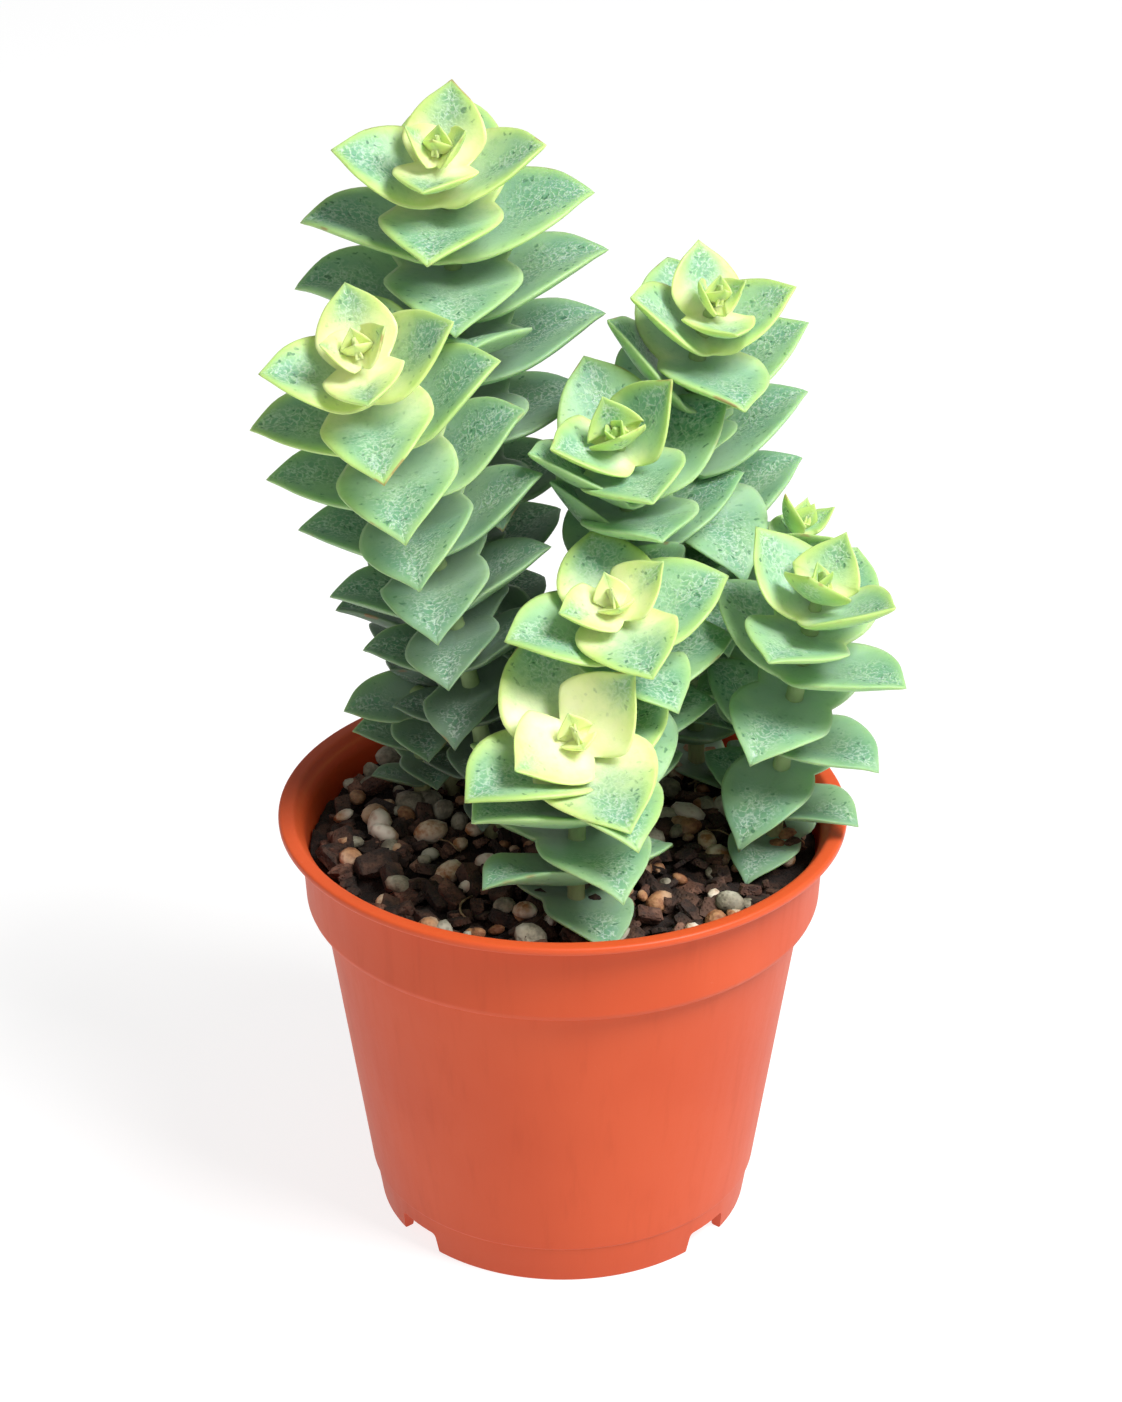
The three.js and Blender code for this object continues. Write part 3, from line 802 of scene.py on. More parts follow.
@dataclass(frozen=True)
class GritKind:
    """One kind of loose piece in the mix.

    sizes: shortest and longest length. lift: how far its middle lies over the bed, as a share of
    its height.
    """

    name: str
    count: int
    sizes: tuple[float, float]
    lift: float
    form: Form
    finish: GritFinish


@dataclass(frozen=True)
class FibreKind:
    """The thin roots and straws; ranges and sizes in millimetres.

    spread: how far from the middle they start. joints: points along each. bend and wander: how they
    turn, in radians. margin: how far they stay from the wall.
    """

    count: int = 16
    spread: float = 36
    joints: int = 8
    sides: int = 6
    run: tuple[float, float] = (4, 9)
    bend: tuple[float, float] = (-0.35, 0.35)
    lift: tuple[float, float] = (0.9, 1.8)
    radius: tuple[float, float] = (0.11, 0.2)
    arch: float = 0.8
    wander: float = 3
    margin: float = 1
    finish: GritFinish = GritFinish("fibre", "5b4630", "8a7150", "b29a74", 1.0, 0.7, 0.1)


@dataclass
class GrittySoil:
    """Bed of dark peat under bark chips, rounded grit and a few fibres.

    wall: radius and height of the bed's side from the floor up. crumbs and lumps: strength and
    fineness of the layers of the crumbly top. sunk: how far the peat lies under the loose pieces'
    level. fall_off: power that makes small pieces more common than large ones. margin: how far a
    piece stays from the wall, in its lengths and in millimetres. swell and chips: strength and
    fineness of what makes a loose piece uneven. tumble: its greatest tilt, in radians. bounce: how
    much lower or higher than its kind it may lie.
    """

    floor: float = 5.45
    surface: float = 64.3
    mound: float = 0.9
    ripple: float = 0.45
    edge: float = 40.1
    wall: tuple[tuple[float, float], ...] = ((29.35, 5.45), (37.2, 55.3), (39.6, 56.6))
    shoulder: float = 1.4
    crumbs: tuple[tuple[float, float], ...] = ((0.75, 0.55), (0.5, 1.3))
    lumps: tuple[float, float] = (0.35, 2.9)
    sunk: float = 0.9
    rings: int = 52
    steps: int = 168
    seed: int = 417
    fall_off: float = 1.7
    margin: tuple[float, float] = (0.45, 0.6)
    swell: tuple[float, float] = (2.0, 1.8)
    chips: tuple[float, float] = (0.5, 3.7)
    noise_range: float = 50
    chip_bevel: tuple[float, float] = (0.12, 0.2)
    chip_crease: float = 28
    tumble: float = 0.6
    bounce: tuple[float, float] = (-0.3, 0.55)
    peat: GritFinish = GritFinish("peat", "150d09", "2a1a13", "452e22", 0.9, 0.9, 0.5)
    kinds: tuple[GritKind, ...] = (
        GritKind("bark_dark", 300, (2.4, 6.0), 0.3, Form.CHIP, GritFinish(
            "bark_dark", "1c120d", "3a251b", "5f4132", 1.2, 0.72, 0.4, (1.0, 1.0, 0.4))),
        GritKind("bark_brown", 230, (2.0, 4.8), 0.5, Form.CHIP, GritFinish(
            "bark_brown", "35211a", "5e3d2e", "8a6350", 1.0, 0.75, 0.4, (0.4, 1.0, 1.0))),
        GritKind("grit_cream", 62, (2.4, 5.8), 0.42, Form.STONE, GritFinish(
            "grit_cream", "9c6331", "d6c2a4", "efe6d6", 2.2, 0.55, 0.2)),
        GritKind("grit_tan", 96, (2.0, 5.4), 0.38, Form.STONE, GritFinish(
            "grit_tan", "7e4a2c", "b5855c", "dcc3a4", 1.8, 0.65, 0.22)),
        GritKind("grit_grey", 76, (2.0, 5.6), 0.4, Form.STONE, GritFinish(
            "grit_grey", "6a6454", "9a917b", "c2bca9", 1.6, 0.68, 0.22)),
    )

    def height(self, x: float, y: float) -> float:
        """Height of the soil's surface, mounded at the middle and uneven all over.

        Args:
            x: place across, in millimetres.
            y: place from front to back, in millimetres.

        Returns:
            The height in millimetres.
        """
        out = math.hypot(x, y) / self.edge
        waves = math.sin(x * 0.61 + 1.3) * math.cos(y * 0.53 - 0.4)
        waves += 0.6 * math.sin((x - y) * 0.97)
        return self.surface + self.mound * (1 - out * out) + self.ripple * waves

    def bed(self) -> bpy.types.Object:
        """Makes the body of the mix with a crumbly top.

        Returns:
            The bed's piece.
        """
        profile = [(0.0, self.floor), *self.wall, (self.edge, self.surface - self.shoulder)]
        profile += [(self.edge * (1 - i / self.rings), self.surface) for i in range(self.rings + 1)]
        shape = turned(profile, self.steps)
        strength, fineness = self.lumps
        for vert in shape.verts:
            x, y, z = vert.co
            if z < self.surface - self.shoulder / 2:
                continue
            spot = Vector((x, y, 0))
            crumbs = sum(high * noise.noise(spot * fine) for high, fine in self.crumbs)
            crumbs += strength * abs(noise.noise(spot * fineness))
            vert.co.z = self.height(x, y) - self.sunk + crumbs
        made = piece("soil_bed", shape, self.peat.material())
        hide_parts("soil")
        return made

    def lump(self, shape: bmesh.types.BMesh, kind: GritKind,
             draw: random.Random) -> list[bmesh.types.BMVert]:
        """Adds one stone or chip to a shape, resting on the bed.

        Args:
            shape: the mesh that it joins.
            kind: what kind of piece it is.
            draw: the seeded draws.

        Returns:
            Its vertices.
        """
        (least, most), (lengths, gap) = kind.sizes, self.margin
        size = least + (most - least) * draw.random() ** self.fall_off
        out = (self.edge - lengths * size - gap) * math.sqrt(draw.random())
        angle = draw.uniform(0, math.tau)
        x, y = out * math.cos(angle), out * math.sin(angle)
        widths, heights, uneven = kind.form.value
        if kind.form is Form.CHIP:
            made = bmesh.ops.create_cube(shape, size=1.0)["verts"]
            edges = unique(e for v in made for e in v.link_edges)
            cut = bmesh.ops.bevel(shape, geom=edges, offset=draw.uniform(*self.chip_bevel),
                                  segments=1, profile=0.5, affect="EDGES", material=-1)
            made = unique([*(v for v in made if v.is_valid), *cut["verts"]])
        else:
            made = bmesh.ops.create_icosphere(shape, subdivisions=2, radius=0.5)["verts"]
        scale = Vector((size, size * draw.uniform(*widths), size * draw.uniform(*heights)))
        offset = Vector([draw.uniform(-self.noise_range, self.noise_range) for _ in range(3)])
        (swell, broad), (chips, fine) = self.swell, self.chips
        for vert in made:
            vert.co *= 1 + uneven * swell * noise.noise(vert.co * broad + offset)
            vert.co += uneven * chips * noise.noise_vector(vert.co * fine + offset)
        tumble = Matrix.Rotation(draw.uniform(0, math.tau), 4, "Z") \
            @ Matrix.Rotation(draw.uniform(-self.tumble, self.tumble), 4, "X") \
            @ Matrix.Rotation(draw.uniform(-self.tumble, self.tumble), 4, "Y")
        lift = kind.lift * scale.z + draw.uniform(*self.bounce)
        place = Matrix.Translation((x, y, self.height(x, y) + lift))
        bmesh.ops.transform(shape, verts=made, matrix=place @ tumble @ Matrix.Diagonal(
            (scale.x, scale.y, scale.z, 1.0)))
        return made

    def fibres(self, kind: FibreKind, draw: random.Random) -> bpy.types.Object:
        """Makes the thin roots and straws that lie across the grit.

        Args:
            kind: their sizes.
            draw: the seeded draws.

        Returns:
            The fibres' piece.
        """
        shape = bmesh.new()
        for _ in range(kind.count):
            angle, out = draw.uniform(0, math.tau), kind.spread * math.sqrt(draw.random())
            from_x, from_y = out * math.cos(angle), out * math.sin(angle)
            run, bend = draw.uniform(*kind.run), draw.uniform(*kind.bend)
            heading, lift = draw.uniform(0, math.tau), draw.uniform(*kind.lift)
            radius = draw.uniform(*kind.radius)
            spots = []
            for k in range(kind.joints):
                t = k / (kind.joints - 1)
                turn = heading + bend * t * kind.wander
                x, y = from_x + run * t * math.cos(turn), from_y + run * t * math.sin(turn)
                if math.hypot(x, y) > self.edge - kind.margin:
                    break
                spots.append(Vector((x, y, self.height(x, y) + lift
                                     + kind.arch * math.sin(t * math.pi))))
            if len(spots) > 2:
                tube(shape, spots, [radius] * len(spots), kind.sides)
        return piece("soil_fibres", shape, kind.finish.material())

    def strew(self, leaves: list[Solid]) -> list[bpy.types.Object]:
        """Makes everything that lies on the bed, but leaves out what a leaf would lie in.

        Args:
            leaves: the settled leaves.

        Returns:
            The loose pieces of the mix.
        """
        made = []
        draw = random.Random(self.seed)
        noise.seed_set(self.seed)  # Without it, noise_vector goes by the clock.
        for kind in self.kinds:
            shape = bmesh.new()
            for _ in range(kind.count):
                verts = self.lump(shape, kind, draw)
                lump = Solid.of_verts(verts)
                if any(lump.crosses(leaf) for leaf in leaves):
                    bmesh.ops.delete(shape, geom=verts, context="VERTS")
            bmesh.ops.recalc_face_normals(shape, faces=shape.faces)
            made.append(piece(f"soil_{kind.name}", shape, kind.finish.material(),
                              self.chip_crease if kind.form is Form.CHIP else None))
        made.append(self.fibres(FibreKind(), draw))
        return made


# ---------------------------------------------------------------- leaves


def eased(value: float) -> float:
    """A number held between 0 and 1, with a soft start and end."""
    held = min(max(value, 0.0), 1.0)
    return held * held * (3 - 2 * held)


@dataclass(frozen=True)
class Blade:
    """What all leaves have in common; places on a leaf are shares of its length.

    skin and flesh: the thickness is skin, and flesh more for each millimetre of length. kept: share
    of its width that a leaf keeps however short it is bent. run and climb: how far out and up it
    goes with the first and the second power of the place. joined and free: where the pair's join
    starts to loosen, and over what length. clasp, clasp_slant and clasp_range: reach of the join
    round the stem in millimetres, its slant, and its limits. level: where the leaf has its own
    slope. blunt: how fast the tip thins. top: thickness over the middle, as a share of that
    underneath. hollow: power of the cup. groove and groove_width: the dent over the midrib.
    curl_from and drawn_from: where the curl and the drawn-out tip start. waves: of the margin.
    sides, rows and tip_rows: faces round and along a pair, and how much closer they are at the
    tips. tip_margin: how much nearer the tip counts as a margin. tested, swollen, test_rows and
    test_sides: the coarse copy that is tested for what it meets.
    """

    skin: float = 0.55
    flesh: float = 0.085
    kept: float = 0.35
    run: tuple[float, float] = (1.25, -0.25)
    climb: tuple[float, float] = (0.55, 0.45)
    joined: float = 0.1
    free: float = 0.3
    clasp: float = 1.5
    clasp_slant: float = 1.22
    clasp_range: tuple[float, float] = (0.04, 0.2)
    level: float = 0.35
    blunt: float = 2.2
    top: float = 0.95
    hollow: float = 1.7
    groove: float = 0.28
    groove_width: float = 0.16
    curl_from: float = 0.5
    waves: float = 6
    drawn_from: float = 0.6
    sides: int = 22
    rows: int = 34
    tip_rows: float = 0.35
    tip_margin: float = 0.75
    tested: tuple[float, float] = (0.3, 0.985)
    swollen: tuple[float, float] = (1.05, 1.25)
    test_rows: int = 5
    test_sides: int = 8


BLADE = Blade()


@dataclass
class LeafBend:
    """How one leaf departs from the regular form of its pair."""

    lift: float = 0.0
    yaw: float = 0.0
    reach: float = 1.0
    twist: float = 0.0
    curl: float = 0.0
    wave: float = 0.0
    phase: float = 0.0


@dataclass
class LeafPair:
    """Two opposite leaves, joined round the stem.

    place: the stem's frame. length: in millimetres. rise: in radians. youth and painted_shade: what the
    finish reads; painted_shade greys and darkens the lower leaves as painted shade. width, widest and
    root: half width, where it is reached and how much of it is left at the stem. point and drawn: how
    pointed the tip is. cup and arch: how hollow and how bowed.
    """

    place: Matrix
    length: float
    rise: float
    youth: float
    painted_shade: float
    bends: list[LeafBend] = field(default_factory=lambda: [LeafBend(), LeafBend()])
    width: float = 0.43
    widest: float = 0.31
    root: float = 0.78
    point: float = 1.75
    drawn: float = 0.25
    cup: float = 0.24
    arch: float = 0.0

    def bend(self, side: int) -> LeafBend:
        """The bend of the leaf on that side, 1 or -1."""
        return self.bends[0 if side > 0 else 1]

    def outline(self, share: float) -> float:
        """Half width at a share of the length, as a share of the widest.

        Args:
            share: 0 at the stem, 1 at the tip.

        Returns:
            The relative half width.
        """
        if share < self.widest:
            return 1 - (1 - self.root) * (1 - share / self.widest) ** 2
        out = (share - self.widest) / (1 - self.widest)
        ease = eased((out - BLADE.drawn_from) / (1 - BLADE.drawn_from))
        return max(0.0, 1 - out ** self.point) * (1 - self.drawn * ease)

    def course(self, share: float, rise: float, length: float) -> tuple[float, float, float]:
        """Where a leaf's middle line runs.

        Args:
            share: 0 at the stem, 1 at the tip.
            rise: the leaf's angle, in radians.
            length: its length.

        Returns:
            The run outwards, the climb and the slope in radians.
        """
        (run, run_more), (climb, climb_more) = BLADE.run, BLADE.climb
        out = length * math.cos(rise) * (run * share + run_more * share * share)
        up = length * math.sin(rise) * (climb * share + climb_more * share * share)
        up += 4 * self.arch * length * share * share * (1 - share)
        slope = math.atan2(
            math.sin(rise) * (climb + 2 * climb_more * share) + 4 * self.arch * share * (2 - 3 * share),
            math.cos(rise) * (run + 2 * run_more * share))
        return out, up, slope

    def spot(self, along: float, across: float, over: float) -> Vector:
        """A point of the leaves' skin.

        Args:
            along: -1 at one tip, 0 at the stem, 1 at the other tip.
            across: -1 at one margin, 1 at the other.
            over: 1 on top, -1 underneath, 0 at the margins.

        Returns:
            The point, in the plant's frame.
        """
        side = 1 if along >= 0 else -1
        share = abs(along)
        bend = self.bend(side)
        length = self.length * bend.reach
        free = eased((share - BLADE.joined) / BLADE.free)
        rise = self.rise + bend.lift * free
        out, up, slope = self.course(share, rise, length)
        base = BLADE.clasp / (BLADE.clasp_slant * length * math.cos(rise))
        base = min(max(base, BLADE.clasp_range[0]), BLADE.clasp_range[1])
        tilt = slope * min(max((share - base) / (BLADE.level - base), 0.0), 1.0)
        tilt += bend.curl * max(share - BLADE.curl_from, 0.0) * 2
        up += bend.curl * length * max(share - BLADE.curl_from, 0.0) ** 2

        reach = BLADE.kept + (1 - BLADE.kept) * bend.reach
        width = self.width * self.length * reach * self.outline(share)
        body = (BLADE.skin + BLADE.flesh * length) / 2
        thick = body * math.sqrt(min(1.0, BLADE.blunt * (1 - share)))
        lift = self.cup * width * abs(across) ** BLADE.hollow
        lift += thick * (over if over < 0 else BLADE.top * over)
        if over > 0:
            lift -= BLADE.groove * thick * math.exp(-(across / BLADE.groove_width) ** 2) * free
        waves = math.sin(BLADE.waves * share + bend.phase)
        lift += bend.wave * width * abs(across) ** 2 * waves * free
        lift += bend.twist * width * across * free

        x = side * (out - lift * math.sin(tilt))
        y = width * across
        yaw = bend.yaw * free
        x, y = x * math.cos(yaw) - y * math.sin(yaw), x * math.sin(yaw) + y * math.cos(yaw)
        return self.place @ Vector((x, y, up + lift * math.cos(tilt)))

    def solid(self, side: int) -> Solid:
        """A coarse, slightly swollen copy of one leaf, to test what it meets.

        Args:
            side: 1 or -1.

        Returns:
            The copy, which leaves out the leaf's first part at the stem.
        """
        (start, end), (wide, deep) = BLADE.tested, BLADE.swollen
        rows, sides = BLADE.test_rows, BLADE.test_sides
        shares = [start + (end - start) * i / rows for i in range(rows + 1)]
        ring = [(math.cos(a), math.sin(a)) for a in (math.tau * k / sides for k in range(sides))]
        points = [self.spot(side * s, wide * c, deep * o) for s in shares for c, o in ring]
        faces = []
        for first in range(0, rows * sides, sides):
            for k in range(sides):
                after = (k + 1) % sides
                faces.append((first + k, first + after, first + sides + after, first + sides + k))
        return Solid(points, faces)

    def add_to(self, shape: bmesh.types.BMesh) -> None:
        """Adds the pair to a mesh, with what its finish reads.

        Args:
            shape: the mesh that it joins.
        """
        layers = [shape.verts.layers.float[name] for name in TRAITS]
        made = bmesh.ops.create_uvsphere(shape, u_segments=BLADE.sides, v_segments=BLADE.rows,
                                         radius=1.0)
        for vert in made["verts"]:
            x, y, z = vert.co
            polar = math.acos(max(-1.0, min(1.0, z)))
            along = BLADE.tip_rows * z + (1 - BLADE.tip_rows) * (1 - 2 * polar / math.pi)
            spread = math.hypot(x, y)
            across, over = (x / spread, y / spread) if spread > 1e-6 else (0.0, 0.0)
            share = abs(along)
            half = self.width * self.length * self.outline(share)
            edge = min((1 - abs(across)) * half, (1 - share) * self.length * BLADE.tip_margin)
            values = (self.youth, self.painted_shade, edge, share, across, 0.5 + 0.5 * over)
            for layer, value in zip(layers, values):
                vert[layer] = value
            vert.co = self.spot(along, across, over)


# ---------------------------------------------------------------- shoots


@dataclass(frozen=True)
class Habit:
    """How all shoots grow; pairs are counted from 0 at the growing tip.

    soil and root: heights where the stem's curve starts and where the stem ends. lowest: no pair
    sits lower. steepest: no leaf rises more, in degrees. spare: pairs that may be added to a shoot's
    own number until the soil is met. grown: pairs that the youngest leaf is ahead, and power of the
    gain in length. young: depth in pairs and power of the tip's steeper rise. upright: extra rise
    of the very first pair. youth_power and painted_shade_power: how the two tints fade. side_droop: share of
    the droop that the side leaves have. bud_depth, bud_width, bud_cup and bud_root: how many pairs
    deep the bud's form goes, and what it adds or takes. arch: how bowed grown leaves are. crowded,
    opening and closing: pitch at the tip, its gain for each pair, and its loss at the base. calm:
    pairs until the small bends, drawn from turn to wave, have their full size. arm: how strongly
    the ends steer the stem's curve. ring_gap, least_rings and tip_gap: how the stem's rings are
    laid. swell and swell_reach: how the stem thickens at each pair. slim: share of its radius that
    the stem has at the tip, and the length over which it gains the rest.
    """

    soil: float = 62.0
    root: float = 56.0
    lowest: float = 66.3
    steepest: float = 72.0
    spare: int = 3
    grown: tuple[float, float] = (0.55, 1.4)
    young: tuple[float, float] = (2.2, 1.3)
    upright: float = 16.0
    youth_power: float = 1.6
    painted_shade_power: float = 1.5
    side_droop: float = 0.2
    bud_depth: float = 2.5
    bud_width: float = 0.22
    bud_cup: float = 0.06
    bud_root: float = 0.28
    arch: float = 0.11
    crowded: float = 0.22
    opening: float = 0.2
    closing: float = 0.15
    calm: float = 4.0
    arm: float = 0.33
    ring_gap: float = 1.1
    least_rings: int = 12
    tip_gap: float = 0.4
    swell: float = 0.16
    swell_reach: float = 0.9
    slim: tuple[float, float] = (0.35, 9)
    turn: float = 3.0
    twist: float = 0.10
    curl: tuple[float, float] = (-0.22, 0.05)
    wave: float = 0.06


HABIT = Habit()


def fade(distance: float, depth: float, power: float) -> float:
    """How much is left at a distance of something that fades out over a depth."""
    return math.exp(-((distance / depth) ** power))


@dataclass
class Shoot:
    """One leafy stem from the soil to its growing tip.

    base: place in the soil. tip: the growing point. lean: run of the tip for each unit of rise.
    heading, drift and skew: how the pairs are turned, in degrees. leaf: full leaf length.
    growth: pairs it takes to get there. taper: loss towards the base. pitch: distance between
    pairs. rise: leaf angle at the tip, and low down for the side pairs and the front pairs.
    lime: how strong and how many pairs deep the young colour is. painted_shade: how much painted
    shade greys and darkens the leaves at the tip and at the base. cut: the bare stem above the top pair
    where the growing tip is gone.
    bud: length of the youngest leaves. droop: how far the lowest leaves hang, in degrees.
    tier: how many pairs make up one piece.
    """

    name: str
    base: tuple[float, float]
    tip: tuple[float, float, float]
    lean: tuple[float, float]
    heading: float
    drift: float
    skew: float
    leaf: float
    growth: float
    taper: float
    pitch: float
    rise: tuple[float, float, float]
    pairs: int
    side_first: bool
    lime: tuple[float, float]
    painted_shade: tuple[float, float] = (0.0, 0.3)
    cut: float = 0.0
    bud: float = 4.8
    droop: float = 0.0
    tier: int = 3
    stem_radius: float = 1.35
    stem_sides: int = 14
    chords: int = 200
    lengths: list[float] = field(default_factory=list)
    leaves: list[LeafPair] = field(default_factory=list)

    def controls(self) -> list[Vector]:
        """The four points that steer the stem's curve."""
        start = Vector((*self.base, HABIT.soil))
        end = Vector(self.tip)
        arm = HABIT.arm * (end - start).length
        heading = Vector((*self.lean, 1.0)).normalized()
        return [start, start + Vector((0, 0, arm)), end - heading * arm, end]

    def bezier(self, t: float) -> tuple[Vector, Vector]:
        """Point and direction of the stem at a curve parameter.

        Args:
            t: 0 at the soil, 1 at the tip.

        Returns:
            The point and the direction.
        """
        a, b, c, d = self.controls()
        u = 1 - t
        point = a * u ** 3 + b * 3 * u * u * t + c * 3 * u * t * t + d * t ** 3
        ahead = (b - a) * u * u + (c - b) * 2 * u * t + (d - c) * t * t
        return point, ahead.normalized()

    def at(self, share: float) -> tuple[Vector, Vector]:
        """Point and direction of the stem at a share of its length.

        Args:
            share: 0 at the soil, 1 at the tip.

        Returns:
            The point and the direction.
        """
        if not self.lengths:
            spots = [self.bezier(i / self.chords)[0] for i in range(self.chords + 1)]
            self.lengths = [0.0]
            for before, after in zip(spots, spots[1:]):
                self.lengths.append(self.lengths[-1] + (after - before).length)
        aim = min(max(share, 0.0), 1.0) * self.lengths[-1]
        last = self.chords - 1
        i = next((k for k in range(last + 1) if self.lengths[k + 1] >= aim), last)
        run = self.lengths[i + 1] - self.lengths[i]
        return self.bezier((i + (aim - self.lengths[i]) / run) / self.chords)

    def place(self, share: float, turn: float) -> Matrix:
        """A frame on the stem: z along it, x turned about it.

        Args:
            share: 0 at the soil, 1 at the tip.
            turn: angle about the stem.

        Returns:
            The frame.
        """
        centre, axis = self.at(share)
        across = (Vector((1, 0, 0)) - axis * axis.x).normalized()
        beside = axis.cross(across)
        turned_frame = Matrix((across, beside, axis)).transposed().to_4x4()
        return Matrix.Translation(centre) @ turned_frame @ Matrix.Rotation(turn, 4, "Z")

    def bends(self, number: int, draw: random.Random) -> list[LeafBend]:
        """Draws the small differences between the two leaves of a pair.

        Args:
            number: the pair's number from the tip.
            draw: the seeded draws.

        Returns:
            A bend for each leaf.
        """
        calm = min(1.0, number / HABIT.calm)
        return [LeafBend(
            lift=math.radians(draw.uniform(-HABIT.turn, HABIT.turn)) * calm,
            yaw=math.radians(draw.uniform(-HABIT.turn, HABIT.turn)) * calm,
            twist=draw.uniform(-HABIT.twist, HABIT.twist) * calm,
            curl=draw.uniform(*HABIT.curl) * calm,
            wave=draw.uniform(0.0, HABIT.wave),
            phase=draw.uniform(0, math.tau),
        ) for _ in range(2)]

    def pair(self, number: int, share: float, draw: random.Random) -> LeafPair:
        """Shapes one pair.

        Args:
            number: the pair's number from the tip.
            share: its place on the stem, 0 at the soil and 1 at the tip.
            draw: the seeded draws.

        Returns:
            The pair.
        """
        front = (number % 2 == 0) != self.side_first
        turn = math.radians(self.heading + self.drift * number + (90 + self.skew if front else 0))
        old = number / (self.pairs - 1)
        ahead, power = HABIT.grown
        grown = 1.0 if self.cut else 1 - fade(number + ahead, self.growth, power)
        settled = self.rise[2 if front else 1]
        settled -= self.droop * (1.0 if front else HABIT.side_droop) * min(1.0, old) ** 2
        upright = 0.0 if self.cut else HABIT.upright * fade(number, 1, 2)
        steep = settled + (self.rise[0] - settled) * fade(number, *HABIT.young) + upright
        strength, depth = self.lime
        made = LeafPair(
            place=self.place(share, turn),
            length=max(self.bud, self.leaf * grown * (1 - self.taper * old ** 2)),
            rise=math.radians(min(HABIT.steepest, steep)),
            youth=strength * fade(number, depth, HABIT.youth_power),
            painted_shade=self.painted_shade[0] + (self.painted_shade[1] - self.painted_shade[0]) * old ** HABIT.painted_shade_power,
        )
        bud = 0.0 if self.cut else fade(number, HABIT.bud_depth, 2)
        made.width *= 1 + HABIT.bud_width * bud
        made.cup += HABIT.bud_cup * bud
        made.root -= HABIT.bud_root * bud
        made.arch = HABIT.arch * (1 - bud)
        made.bends = self.bends(number, draw)
        return made

    def grow(self, draw: random.Random) -> None:
        """Sets every pair on the stem, top pair first.

        Args:
            draw: the seeded draws for the leaves' small differences.
        """
        self.at(0.0)
        total, down = self.lengths[-1], self.cut
        for number in range(self.pairs + HABIT.spare):
            share = 1 - down / total
            if share <= 0 or self.at(share)[0].z < HABIT.lowest:
                break
            self.leaves.append(self.pair(number, share, draw))
            crowd = 1.0 if self.cut else min(1.0, HABIT.crowded + HABIT.opening * number)
            old = min(1.0, number / (self.pairs - 1))
            down += self.pitch * crowd * (1 - HABIT.closing * old ** 2)
        if not self.cut:
            self.leaves.insert(0, self.heart())

    def heart(self) -> LeafPair:
        """The closed pair of tiny leaves in the middle of the growing tip."""
        first = self.leaves[0]
        quarter = Matrix.Rotation(math.radians(90), 4, "Z")
        return LeafPair(place=first.place @ quarter, length=0.8 * first.length,
                        rise=math.radians(88), youth=first.youth * 1.1, painted_shade=first.painted_shade,
                        width=0.5, root=0.5, cup=0.3, point=2.1)

    def stem_line(self) -> tuple[list[Vector], list[float]]:
        """Middle and radius of the stem's rings, from inside the soil to the growing tip.

        Returns:
            The points and radii.
        """
        spots = [Vector((*self.base, HABIT.root))]
        radii = [self.stem_radius]
        total = self.lengths[-1]
        nodes = [(pair.place.translation - Vector(self.tip)).length for pair in self.leaves]
        count = max(HABIT.least_rings, int(total / HABIT.ring_gap))
        thin, thickening = HABIT.slim
        for i in range(count + 1):
            share = i / count * (1 - HABIT.tip_gap / total)
            spot = self.at(share)[0]
            down = (spot - Vector(self.tip)).length
            swell = max(fade(down - node, HABIT.swell_reach, 2) for node in nodes)
            slim = 1.0 if self.cut else min(1.0, thin + down / thickening)
            spots.append(spot)
            radii.append(self.stem_radius * slim * (1 + HABIT.swell * swell))
        return spots, radii

    def stem_solid(self, gap: float, sides: int = 6) -> Solid:
        """A coarse copy of the stem, to test what leaves meet.

        Args:
            gap: how much thicker than the stem it is all round.
            sides: how many faces go round.

        Returns:
            The copy.
        """
        spots, radii = self.stem_line()
        shape = bmesh.new()
        tube(shape, spots, [radius + gap for radius in radii], sides)
        made = Solid.of_verts(list(shape.verts))
        shape.free()
        return made

    def build(self, skin: bpy.types.Material, bark: bpy.types.Material) -> list[bpy.types.Object]:
        """Makes the stem, which stands for the shoot's CAD node, and its tiers of leaves.

        Args:
            skin: the leaves' finish.
            bark: the stem's finish.

        Returns:
            The shoot's pieces.
        """
        shape = bmesh.new()
        tube(shape, *self.stem_line(), self.stem_sides)
        bmesh.ops.recalc_face_normals(shape, faces=shape.faces)
        stem = piece(f"{self.name}_stem", shape, bark)
        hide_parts(self.name)
        made = [stem]
        for start in range(0, len(self.leaves), self.tier):
            shape = bmesh.new()
            for trait in TRAITS:
                shape.verts.layers.float.new(trait)
            for pair in self.leaves[start:start + self.tier]:
                pair.add_to(shape)
            made.append(piece(f"{self.name}_tier_{start // self.tier + 1}", shape, skin))
        return made


